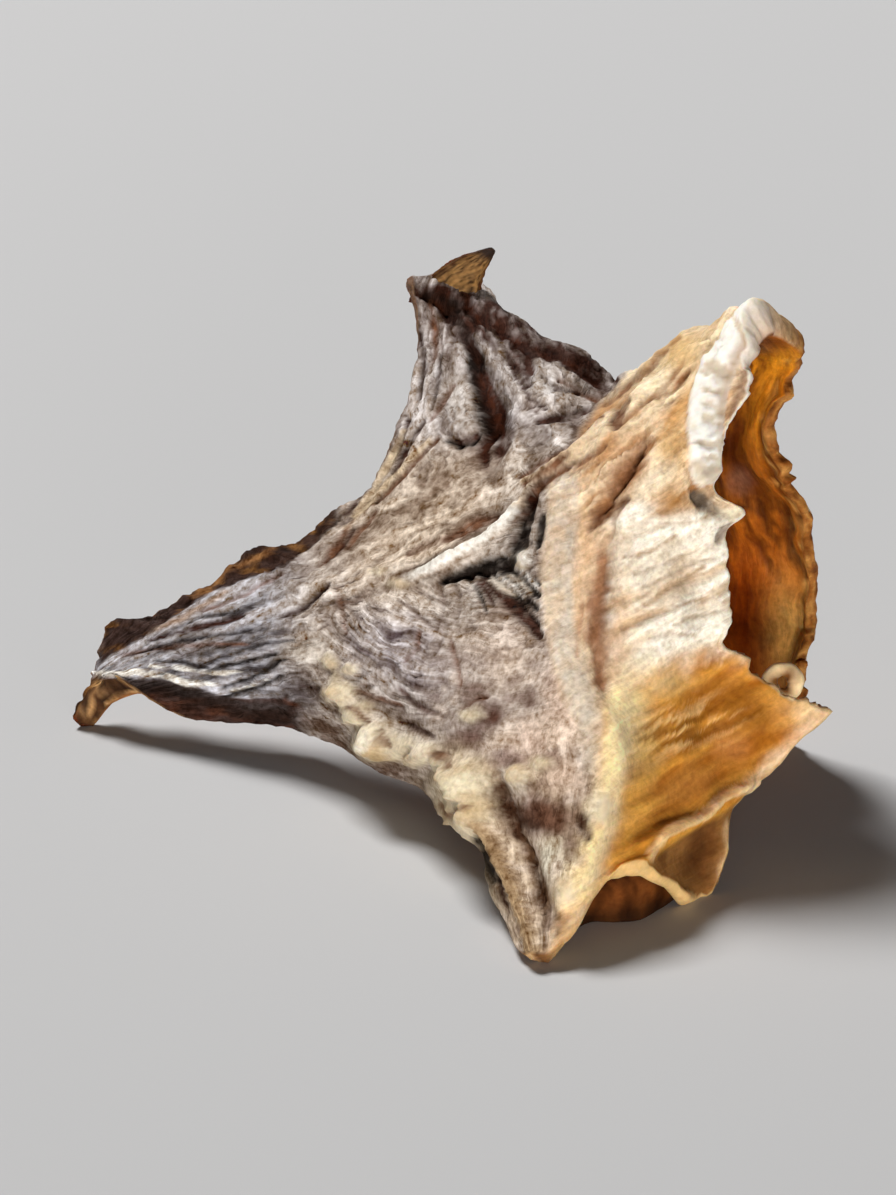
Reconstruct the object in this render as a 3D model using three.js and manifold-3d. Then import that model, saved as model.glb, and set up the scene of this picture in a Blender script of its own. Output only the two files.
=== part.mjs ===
// A dried, leathery piece of stockfish: one sheet of skin and flesh, folded once
// over a crest, that stands like a small five-pointed tent.
// Millimetres, +Z up. Origin: middle of the bounding box, on the resting plane.
//
// The sheet is lofted. Ten lines run across it from the left edge (u = 0) to the
// right edge (u = 1); each passes through a few named stations. The lines are
// stacked from the near foot (v = 0) over the folded brow (v about 1) down to the
// far hem (v = 2), and a smooth curve is run through them for every u.
// Two faces are then set off from that middle surface by the local half
// thickness, relief is added, and the rim is rounded.

import * as THREE from 'three';
import * as BufferGeometryUtils from 'three/addons/utils/BufferGeometryUtils.js';
import Module from 'manifold-3d';

// ---------------------------------------------------------------- sizes (mm)
const SHEET_WIDTH = 50;          // mean length along u, for distances on the sheet
const SHEET_RUN = 43;            // mean length of one unit of v
const COLUMNS = 37;              // vertices across the sheet
const ROWS = 57;                 // vertices along the sheet
const HALF_THICK = 1.25;         // half thickness of the body of the sheet
const DISH_THIN = 0.40;          // how much thinner each half is in the thin dish
const ARM_THICK = 0.55;          // extra half thickness at the left arm's cut flank
const LEG_THICK = 0.40;          // extra half thickness at the front leg
const FAR_THIN = 0.25;           // the far half is this much thinner each half
const EDGE_THIN = 0.30;          // taken off the far half's right edge
const RIM_BULGE = 0.45;          // how far the rounded rim stands out
const RAG = 0.55;                // depth of the torn, ragged edge
const CRUMPLE = 0.38;            // height of the broad crumples
const ORIGIN = [-0.29, 7.02, 1.1];   // centre of the footprint in loft coordinates, and the plane the feet are cut on

// fold gap: step from the brow line to the nape line, at u = 0, 0.5 and 1
const FOLD_GAP = [[0, 0.6, 3.2, -1.5], [0.5, 0.5, 3.8, -2.0], [1, 3.1, 6.2, -3.8]];

// lines of the loft: name, v, stations [u, x, y, z]
const LINES = [
  ['foot', 0.00, [
    [0.000, -30.0, 21.8, 1.4],     // tip of the left arm
    [0.050, -26.8, 21.1, 5.0],
    [0.110, -21.3, 18.3, 4.0],
    [0.200, -12.2, 15.5, 4.6],     // root of the left arm
    [0.300, -5.1, 6.1, 4.4],
    [0.400, -0.2, 0.1, 4.8],
    [0.475, 3.0, -7.5, 4.0],
    [0.540, 5.2, -18.6, 2.4],
    [0.595, 7.4, -26.2, 1.0],      // tip of the front leg
    [0.660, 11.0, -21.5, 4.8],     // arch beside it
    [0.720, 14.9, -20.9, 6.6],
    [0.790, 19.3, -14.4, 1.1],     // right foot
    [0.860, 22.0, -11.7, 4.4],
    [0.920, 23.0, -6.8, 6.8],
    [1.000, 30.0, -3.0, 12.4]]],   // tip of the dish
  ['low', 0.28, [
    [0.0, -24.5, 23.8, 9.4], [0.2, -9.1, 10.1, 12.5], [0.4, 0.2, -4.3, 13.1],
    [0.5, 5.3, -11.8, 13.2], [0.6, 9.6, -18.0, 12.8], [0.7, 14.1, -14.5, 11.3],
    [0.8, 17.6, -9.0, 12.3], [0.9, 20.3, -5.5, 14.5], [1.0, 23.5, -3.5, 16.4]]],
  ['mid', 0.54, [
    [0.0, -12.1, 21.3, 16.3], [0.2, -3.9, 9.8, 19.1], [0.4, 2.5, 2.3, 19.9],
    [0.52, 7.7, -3.0, 21.5], [0.62, 10.4, -3.8, 22.1], [0.75, 13.9, -5.2, 23.9],
    [0.88, 17.5, -4.0, 24.0], [1.0, 21.3, -1.5, 24.1]]],
  ['high', 0.76, [
    [0.0, -4.1, 20.3, 25.5], [0.2, 0.6, 14.0, 27.0], [0.4, 6.1, 8.4, 28.4],
    [0.6, 11.6, 2.8, 31.2], [0.8, 15.5, 0.0, 33.5], [1.0, 21.2, 1.4, 33.2]]],
  ['neck', 0.88, [
    [0.0, -1.8, 23.9, 32.0], [0.24, 4.8, 15.8, 33.0], [0.5, 12.4, 11.6, 31.6],
    [0.64, 15.3, 8.0, 34.9], [0.8, 18.1, 5.2, 37.0], [1.0, 23.6, 4.2, 38.5]]],
  ['brow', 0.97, [
    [0.00, -2.8, 27.0, 37.4],      // horn, outer corner
    [0.06, -0.4, 28.0, 37.0],
    [0.11, 1.9, 28.2, 36.6],       // horn, root of the curled tip
    [0.17, 2.9, 26.2, 35.3],
    [0.26, 5.9, 23.8, 34.5],
    [0.38, 10.4, 20.6, 33.1],
    [0.50, 13.3, 18.0, 31.1],      // saddle
    [0.62, 15.8, 14.0, 34.4],
    [0.78, 19.4, 10.4, 38.8],
    [0.90, 22.4, 7.4, 41.1],
    [1.00, 24.7, 6.2, 42.0]]],     // peak
  ['nape', 1.08, null],            // the brow line plus the fold gap
  ['shoulder', 1.28, [
    [0.0, 0.2, 33.5, 31.0], [0.25, 5.0, 31.5, 28.0], [0.5, 13.0, 26.0, 25.5],
    [0.75, 20.0, 19.5, 29.0], [1.0, 25.9, 12.6, 30.5]]],
  ['back', 1.55, [
    [0.0, -2.5, 36.5, 19.0], [0.25, 5.0, 34.5, 17.5], [0.5, 13.0, 27.5, 16.5],
    [0.75, 21.5, 21.0, 18.0], [1.0, 28.6, 13.4, 20.3]]],
  ['hem', 2.00, [
    [0.00, -5.0, 37.0, 8.5],
    [0.16, -1.0, 41.0, 1.4],       // rear left foot
    [0.34, 6.5, 37.5, 5.0],
    [0.52, 13.5, 31.0, 8.5],       // arch between the rear feet
    [0.72, 20.5, 25.0, 5.0],
    [0.88, 25.5, 18.5, 1.3],       // rear right foot
    [1.00, 27.6, 14.0, 5.5]]],
];

// ridges (+) and grooves (-) of the outer face: path in (u, v), height, half width
const RELIEF = [
  { name: 'vein', h: 0.6, w: 0.9, path: [[0.18, 0.54], [0.31, 0.60], [0.41, 0.64], [0.46, 0.71], [0.58, 0.78], [0.67, 0.85]] },
  { name: 'smooth ridge', h: 0.8, w: 2.4, path: [[0.67, 0.75], [0.57, 0.67], [0.55, 0.58], [0.58, 0.46], [0.60, 0.38]] },
  { name: 'streak', h: -0.8, w: 1.5, path: [[0.79, 0.76], [0.73, 0.69], [0.71, 0.55], [0.65, 0.40]] },
  { name: 'leg ridge', h: 0.9, w: 1.3, path: [[0.50, 0.10], [0.55, 0.06], [0.59, 0.02]] },
  { name: 'leg valley', h: -0.9, w: 1.1, path: [[0.52, 0.18], [0.56, 0.13], [0.60, 0.04]] },
  { name: 'rim ridge', h: 0.9, w: 1.3, path: [[0.64, 0.39], [0.66, 0.27], [0.63, 0.16], [0.61, 0.02]] },
  { name: 'horn cleft', h: -1.5, w: 1.4, path: [[0.18, 0.89], [0.26, 0.84], [0.31, 0.76]] },
  { name: 'pleat', h: 0.9, w: 1.2, path: [[0.91, 0.05], [0.85, 0.09], [0.77, 0.13], [0.72, 0.10]] },
  { name: 'flank knobs', h: 0.8, w: 1.4, path: [[0.24, 0.19], [0.31, 0.12], [0.35, 0.12], [0.40, 0.17]] },
  { name: 'leg knob', h: 1.0, w: 1.6, path: [[0.47, 0.15], [0.50, 0.11]] },
];
const NUB = { centre: [26.5, -3.1, 15.0], ring: 1.05, tube: 0.62 };   // curled nub on the dish's edge
// larger tears and tongues of the two long edges: side, v, half width, how far out and how far up, in mm
const TEARS = [
  ['left', 0.19, 2.6, 0.6, 2.4], ['left', 0.34, 1.6, -0.6, 0.4], ['left', 0.46, 2.8, 0.8, 2.3], ['left', 0.60, 2.2, 0.0, 0.8],
  ['right', 0.38, 2.2, -1.4, 0], ['right', 0.51, 1.1, 0.5, 0], ['right', 0.645, 1.0, 2.4, 0], ['right', 0.69, 0.9, -0.5, 0],
  ['right', 1.34, 1.6, -0.6, 0], ['right', 1.72, 3.0, -1.0, 0],
];
const SLIDE_FADE = 1.8, LIFT_FADE = 3.0;    // how far into the sheet a tear's slide and lift reach
// the horn ends in a small curled tip: a bent, flattened cone
const HORN_TIP = { root: [-0.3, 28.3, 35.9], bend: [0.7, 28.6, 38.3], end: [3.7, 28.6, 40.3], wide: 2.9, deep: 1.5, point: 0.22, groove: 0.45 };
// under the arch between the front leg and the right foot the edge is tucked in: a short upright strip
const TUCK = { from: 0.622, to: 0.775, behind: 1.1, back: 3.0, foot: 1.35, half: 0.5 };

// ---------------------------------------------------------------- functions
// smooth curve through stations xs -> ys (arrays of points), read at x
function through(xs, ys, x) {
  const n = xs.length, dim = ys[0].length;
  let k = 0;
  while (k < n - 2 && x >= xs[k + 1]) k++;
  const slope = (i, c) => (ys[i + 1][c] - ys[i][c]) / (xs[i + 1] - xs[i]);
  const tangent = (i, c) => {
    if (i > 0 && i < n - 1) {
      const a = xs[i] - xs[i - 1], b = xs[i + 1] - xs[i];
      return (slope(i - 1, c) * b + slope(i, c) * a) / (a + b);
    }
    return i === 0 ? 1.5 * slope(0, c) - 0.5 * tangent(1, c)
      : 1.5 * slope(n - 2, c) - 0.5 * tangent(n - 2, c);
  };
  const H = xs[k + 1] - xs[k], t = (x - xs[k]) / H, out = [];
  for (let c = 0; c < dim; c++) {
    const a = ys[k][c], b = ys[k + 1][c], ma = tangent(k, c) * H, mb = tangent(k + 1, c) * H;
    out.push((2 * t ** 3 - 3 * t ** 2 + 1) * a + (t ** 3 - 2 * t ** 2 + t) * ma
      + (-2 * t ** 3 + 3 * t ** 2) * b + (t ** 3 - t ** 2) * mb);
  }
  return out;
}
function linePoint(index, u) {
  const stations = LINES[index][2];
  if (stations) return through(stations.map((s) => s[0]), stations.map((s) => s.slice(1)), u);
  const brow = linePoint(index - 1, u);
  const gap = through(FOLD_GAP.map((s) => s[0]), FOLD_GAP.map((s) => s.slice(1)), u);
  return brow.map((value, c) => value + gap[c]);
}
const bump = (x, centre, width) => Math.exp(-(((x - centre) / width) ** 2));
const ease = (x, a, b) => { const t = Math.min(1, Math.max(0, (x - a) / (b - a))); return t * t * (3 - 2 * t); };

// distance on the sheet, in mm, from (u, v) to a path
function toPath(u, v, path) {
  let best = 1e9;
  for (let i = 0; i < path.length - 1; i++) {
    const ax = path[i][0] * SHEET_WIDTH, ay = path[i][1] * SHEET_RUN;
    const bx = path[i + 1][0] * SHEET_WIDTH - ax, by = path[i + 1][1] * SHEET_RUN - ay;
    const px = u * SHEET_WIDTH - ax, py = v * SHEET_RUN - ay;
    const t = Math.min(1, Math.max(0, (px * bx + py * by) / (bx * bx + by * by)));
    best = Math.min(best, Math.hypot(px - t * bx, py - t * by));
  }
  return best;
}
// broad crumples, the same on both faces
function crumple(u, v) {
  const a = u * SHEET_WIDTH, b = v * SHEET_RUN;
  return CRUMPLE * (Math.sin(0.52 * a + 0.21 * b + 0.6) * Math.sin(0.33 * b - 0.17 * a + 1.9)
    + 0.6 * Math.sin(0.95 * a - 0.36 * b + 2.2) * Math.sin(0.61 * b + 0.25 * a));
}
// vertical folds that hang from the crest in the far half
function farFolds(u, v) {
  return ease(v, 1.15, 1.6) * (0.9 * Math.sin(18.5 * u + 0.8 + 0.9 * v) + 0.45 * Math.sin(35 * u + 2.1 - 1.3 * v));
}
// torn edge, by the length along the edge
const rag = (s) => RAG * (0.55 * Math.sin(1.15 * s + 0.4) + 0.45 * Math.sin(2.35 * s + 1.7) * Math.sin(0.41 * s));

function halfThickness(u, v) {
  let h = HALF_THICK;
  h -= DISH_THIN * ease(u, 0.62, 0.76) * (1 - ease(v, 0.25, 0.45));
  h += ARM_THICK * bump(u, 0.12, 0.12) * bump(v, 0.0, 0.14);
  h += LEG_THICK * bump(u, 0.57, 0.05) * (1 - ease(v, 0.10, 0.35));
  h -= FAR_THIN * ease(v, 1.1, 1.5);
  h -= 0.30 * bump(u, 0.0, 0.05) + 0.15 * bump(u, 1.0, 0.05);
  h -= EDGE_THIN * bump(u, 1.0, 0.08) * ease(v, 1.05, 1.25);
  h -= 0.25 * bump(v, 0.97, 0.12) * bump(u, 0.05, 0.2);
  return h;
}
function outerRelief(u, v) {
  let d = 0;
  for (const r of RELIEF) d += r.h * Math.exp(-((toPath(u, v, r.path) / r.w) ** 2));
  return d;
}

// ---------------------------------------------------------------- the two faces
const V = (p) => new THREE.Vector3(p[0], p[1], p[2]);
const middle = [];
for (let j = 0; j < ROWS; j++) {
  middle.push([]);
  const v = 2 * j / (ROWS - 1);
  for (let i = 0; i < COLUMNS; i++) {
    const u = i / (COLUMNS - 1);
    const p = through(LINES.map((l) => l[1]), LINES.map((l, k) => linePoint(k, u)), v);
    middle[j].push(V(p).sub(V(ORIGIN)));
  }
}
function normalsOf(net, passes) {
  const at = (j, i) => net[Math.min(ROWS - 1, Math.max(0, j))][Math.min(COLUMNS - 1, Math.max(0, i))];
  let n = net.map((row, j) => row.map((_, i) => {
    const du = at(j, i + 1).clone().sub(at(j, i - 1)), dv = at(j + 1, i).clone().sub(at(j - 1, i));
    return du.cross(dv).normalize();
  }));
  for (let p = 0; p < passes; p++) {
    const pick = (j, i) => n[Math.min(ROWS - 1, Math.max(0, j))][Math.min(COLUMNS - 1, Math.max(0, i))];
    n = n.map((row, j) => row.map((q, i) => q.clone().multiplyScalar(2)
      .add(pick(j - 1, i)).add(pick(j + 1, i)).add(pick(j, i - 1)).add(pick(j, i + 1)).normalize()));
  }
  return n;
}
// relax the middle surface a little, edges kept, then lay the crumples on it
for (let pass = 0; pass < 3; pass++) {
  const old = middle.map((row) => row.map((p) => p.clone()));
  for (let j = 1; j < ROWS - 1; j++) for (let i = 1; i < COLUMNS - 1; i++) {
    middle[j][i].multiplyScalar(4).add(old[j - 1][i]).add(old[j + 1][i])
      .add(old[j][i - 1]).add(old[j][i + 1]).multiplyScalar(1 / 8);
  }
}
let normals = normalsOf(middle, 3);
for (let j = 0; j < ROWS; j++) for (let i = 0; i < COLUMNS; i++) {
  const u = i / (COLUMNS - 1), v = 2 * j / (ROWS - 1);
  middle[j][i].addScaledVector(normals[j][i], crumple(u, v) + farFolds(u, v));
}
// torn edge: slide the edge vertices along the sheet
const slideU = (j, i, step) => middle[j][i].clone().sub(middle[j][i - step]).normalize();
function tear(side, s) {
  let out = 0, up = 0;
  for (const [where, v, w, far, lift] of TEARS) if (where === side) {
    out += far * bump(s, v * SHEET_RUN, w);
    up += lift * bump(s, v * SHEET_RUN, w);
  }
  return [out, up];
}
for (let j = 1; j < ROWS - 1; j++) {
  const s = 2 * j / (ROWS - 1) * SHEET_RUN;
  for (const [side, i, step, phase] of [['left', 0, -1, 7], ['right', COLUMNS - 1, 1, 31]]) {
    const dir = slideU(j, i, step), [out, up] = tear(side, s);
    middle[j][i].addScaledVector(dir, rag(s + phase));
    for (let c = 0; c < 6; c++) {
      const d = c * SHEET_WIDTH / (COLUMNS - 1), p = middle[j][i - c * step];
      p.addScaledVector(dir, out * bump(d, 0, SLIDE_FADE));
      p.z += up * bump(d, 0, LIFT_FADE);
    }
  }
}
for (let i = 1; i < COLUMNS - 1; i++) {
  const s = i / (COLUMNS - 1) * SHEET_WIDTH;
  for (const [j, step, phase] of [[0, -1, 3], [ROWS - 1, 1, 53]]) {
    const out = middle[j][i].clone().sub(middle[j - step][i]).normalize();
    middle[j][i].addScaledVector(out, rag(s + phase));
  }
}
normals = normalsOf(middle, 3);
const outer = [], inner = [];
for (let j = 0; j < ROWS; j++) {
  outer.push([]); inner.push([]);
  for (let i = 0; i < COLUMNS; i++) {
    const u = i / (COLUMNS - 1), v = 2 * j / (ROWS - 1), h = halfThickness(u, v);
    outer[j].push(middle[j][i].clone().addScaledVector(normals[j][i], h + outerRelief(u, v)));
    inner[j].push(middle[j][i].clone().addScaledVector(normals[j][i], -h));
  }
}

// ---------------------------------------------------------------- closed mesh
const position = [], index = [];
const put = (p) => { position.push(p.x, p.y, p.z); return position.length / 3 - 1; };
const outerId = outer.map((row) => row.map(put));
const innerId = inner.map((row) => row.map(put));
for (let j = 0; j < ROWS - 1; j++) for (let i = 0; i < COLUMNS - 1; i++) {
  const a = [j, i], b = [j, i + 1], c = [j + 1, i + 1], d = [j + 1, i];
  // split each cell along its shorter diagonal
  const flip = outer[j][i].distanceTo(outer[j + 1][i + 1]) > outer[j][i + 1].distanceTo(outer[j + 1][i]);
  const tris = flip ? [[a, b, d], [b, c, d]] : [[a, b, c], [a, c, d]];
  for (const t of tris) {
    index.push(...t.map(([r, q]) => outerId[r][q]));
    index.push(...[t[0], t[2], t[1]].map(([r, q]) => innerId[r][q]));
  }
}
const loop = [];
for (let i = 0; i < COLUMNS - 1; i++) loop.push([0, i, 0, -1]);
for (let j = 0; j < ROWS - 1; j++) loop.push([j, COLUMNS - 1, 1, 0]);
for (let i = COLUMNS - 1; i > 0; i--) loop.push([ROWS - 1, i, 0, 1]);
for (let j = ROWS - 1; j > 0; j--) loop.push([j, 0, -1, 0]);
const rimId = loop.map(([j, i, du, dv]) => {
  const corner = (i === 0 || i === COLUMNS - 1) && (j === 0 || j === ROWS - 1);
  const ii = i + (i === 0 ? 1 : i === COLUMNS - 1 ? -1 : 0) * (du !== 0 || corner ? 1 : 0);
  const jj = j + (j === 0 ? 1 : j === ROWS - 1 ? -1 : 0) * (dv !== 0 || corner ? 1 : 0);
  const away = middle[j][i].clone().sub(middle[jj][ii]).normalize();
  return put(outer[j][i].clone().add(inner[j][i]).multiplyScalar(0.5).addScaledVector(away, RIM_BULGE));
});
for (let k = 0; k < loop.length; k++) {
  const m = (k + 1) % loop.length;
  const inA = innerId[loop[k][0]][loop[k][1]], inB = innerId[loop[m][0]][loop[m][1]];
  const outA = outerId[loop[k][0]][loop[k][1]], outB = outerId[loop[m][0]][loop[m][1]];
  index.push(inA, inB, rimId[m], inA, rimId[m], rimId[k]);
  index.push(rimId[k], rimId[m], outB, rimId[k], outB, outA);
}

// ---------------------------------------------------------------- join and trim
const wasm = await Module();
wasm.setup();
function toSolid(geometry) {
  const g = geometry.clone();
  g.deleteAttribute('normal');
  g.deleteAttribute('uv');
  const merged = BufferGeometryUtils.mergeVertices(g, 1e-5);
  return new wasm.Manifold(new wasm.Mesh({
    numProp: 3,
    vertProperties: new Float32Array(merged.attributes.position.array),
    triVerts: new Uint32Array(merged.index.array),
  }));
}
const sheet = new THREE.BufferGeometry();
sheet.setAttribute('position', new THREE.Float32BufferAttribute(position, 3));
sheet.setIndex(index);

const nub = new THREE.TorusGeometry(NUB.ring, NUB.tube, 8, 12);
nub.rotateX(Math.PI / 2 - 0.3);
nub.translate(NUB.centre[0] - ORIGIN[0], NUB.centre[1] - ORIGIN[1], NUB.centre[2] - ORIGIN[2]);

function hornTip() {
  const t = HORN_TIP, along = 9, around = 14, pos = [], idx = [];
  for (let a = 0; a <= along; a++) {
    const s = a / along, q = (1 - s) ** 2, m = 2 * s * (1 - s), r = s * s;
    const c = [0, 1, 2].map((k) => q * t.root[k] + m * t.bend[k] + r * t.end[k] - ORIGIN[k]);
    const lean = Math.atan2(t.end[2] - t.root[2], t.end[0] - t.root[0]) * s + Math.PI / 2 * (1 - s);
    const wide = t.point + (t.wide - t.point) * (1 - s) ** 0.85, deep = t.point + (t.deep - t.point) * (1 - s);
    for (let b = 0; b < around; b++) {
      const phi = 2 * Math.PI * b / around;
      const x = wide * Math.cos(phi), hollow = Math.sin(phi) < 0 ? t.groove * Math.sin(phi) ** 2 * (1 - s) : 0;
      const y = deep * Math.sin(phi) + hollow * 2;
      pos.push(c[0] + x * Math.sin(lean), c[1] + y, c[2] - x * Math.cos(lean));
    }
  }
  const id = (a, b) => a * around + (b % around);
  for (let a = 0; a < along; a++) for (let b = 0; b < around; b++) {
    idx.push(id(a, b), id(a, b + 1), id(a + 1, b + 1), id(a, b), id(a + 1, b + 1), id(a + 1, b));
  }
  for (let b = 1; b < around - 1; b++) {
    idx.push(id(0, 0), id(0, b + 1), id(0, b));
    idx.push(id(along, 0), id(along, b), id(along, b + 1));
  }
  const g = new THREE.BufferGeometry();
  g.setAttribute('position', new THREE.Float32BufferAttribute(pos, 3));
  g.setIndex(idx);
  return g;
}

// the tucked-in strip follows the near hem's arch and drops to the resting plane behind it
function tuck() {
  const t = TUCK, n = 9, m = 3, pos = [], idx = [];
  for (const face of [-1, 1]) for (let r = 0; r <= m; r++) for (let c = 0; c <= n; c++) {
    const p = linePoint(0, t.from + (t.to - t.from) * c / n), k = r / m;
    const y = p[1] + t.behind + (t.back - t.behind) * k + face * t.half, z = p[2] + 0.4 + (t.foot - 0.7 - p[2]) * k;
    pos.push(p[0] - ORIGIN[0], y - ORIGIN[1], z - ORIGIN[2]);
  }
  const id = (face, r, c) => (face > 0 ? (m + 1) * (n + 1) : 0) + r * (n + 1) + c;
  const quad = (a, b, c, d) => idx.push(a, b, c, a, c, d);
  for (let r = 0; r < m; r++) for (let c = 0; c < n; c++) {
    quad(id(-1, r, c), id(-1, r + 1, c), id(-1, r + 1, c + 1), id(-1, r, c + 1));
    quad(id(1, r, c), id(1, r, c + 1), id(1, r + 1, c + 1), id(1, r + 1, c));
  }
  for (let c = 0; c < n; c++) {
    quad(id(-1, 0, c), id(-1, 0, c + 1), id(1, 0, c + 1), id(1, 0, c));
    quad(id(-1, m, c), id(1, m, c), id(1, m, c + 1), id(-1, m, c + 1));
  }
  for (let r = 0; r < m; r++) {
    quad(id(-1, r, 0), id(1, r, 0), id(1, r + 1, 0), id(-1, r + 1, 0));
    quad(id(-1, r, n), id(-1, r + 1, n), id(1, r + 1, n), id(1, r, n));
  }
  const g = new THREE.BufferGeometry();
  g.setAttribute('position', new THREE.Float32BufferAttribute(pos, 3));
  g.setIndex(idx);
  return g;
}

// everything below the resting plane is taken off, which leaves small flat feet
const ground = new THREE.BoxGeometry(120, 120, 20);
ground.translate(0, 0, -10);

const solid = toSolid(sheet).add(toSolid(nub)).add(toSolid(hornTip())).add(toSolid(tuck())).subtract(toSolid(ground));
const mesh = solid.getMesh();
const body = new THREE.BufferGeometry();
body.setAttribute('position', new THREE.Float32BufferAttribute(mesh.vertProperties, 3));
body.setIndex(Array.from(mesh.triVerts));
body.computeVertexNormals();

const piece = new THREE.Mesh(body, new THREE.MeshStandardMaterial({
  color: 0xb09478, roughness: 0.72, metalness: 0.0,
}));
piece.name = 'stockfish_piece';

const group = new THREE.Group();
group.name = 'stockfish';
group.add(piece);
export default group;
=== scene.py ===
import bpy, math
import numpy as np
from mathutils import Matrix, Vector


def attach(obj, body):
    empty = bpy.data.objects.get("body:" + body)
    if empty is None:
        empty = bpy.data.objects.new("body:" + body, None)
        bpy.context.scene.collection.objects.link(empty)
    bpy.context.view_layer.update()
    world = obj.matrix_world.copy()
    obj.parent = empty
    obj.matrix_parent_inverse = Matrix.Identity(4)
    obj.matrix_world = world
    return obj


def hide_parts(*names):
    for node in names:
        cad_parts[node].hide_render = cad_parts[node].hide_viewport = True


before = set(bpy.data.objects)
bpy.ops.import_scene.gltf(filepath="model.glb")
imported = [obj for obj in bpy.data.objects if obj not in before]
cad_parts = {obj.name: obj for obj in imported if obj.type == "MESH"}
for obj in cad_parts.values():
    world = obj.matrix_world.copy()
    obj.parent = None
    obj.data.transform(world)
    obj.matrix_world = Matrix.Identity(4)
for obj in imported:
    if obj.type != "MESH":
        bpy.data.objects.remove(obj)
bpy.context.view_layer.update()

# A dried, leathery piece of stockfish. The middle surface is the same loft as the
# solid's; this script lays the skin's creases, the fibres, the torn rim and the
# colour zones on it at full resolution. Lengths in mm until the mesh is written.

# ------------------------------------------------------------------ camera first
ORIGIN = np.array([-0.29, 7.02, 1.1])          # loft coordinates -> part coordinates
EYE = np.array([0.0, -665.0, 280.0])           # in loft coordinates
AIM = np.array([0.0, 0.0, 21.0])
FOCAL = 9000.0                                 # pixels of an 896 x 1195 frame
cam_data = bpy.data.cameras.new("view")
cam = bpy.data.objects.new("view", cam_data)
bpy.context.scene.collection.objects.link(cam)
cam.location = Vector(((EYE - ORIGIN) / 1000.0).tolist())
direction = Vector(((AIM - EYE) / 1000.0).tolist())
cam.rotation_euler = direction.to_track_quat('-Z', 'Y').to_euler()
cam_data.sensor_fit = 'VERTICAL'
cam_data.sensor_width = 27.0
cam_data.sensor_height = 36.0
cam_data.lens = FOCAL / 1195.0 * 36.0
cam_data.clip_start = 0.01
cam_data.clip_end = 20.0
bpy.context.scene.camera = cam

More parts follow.
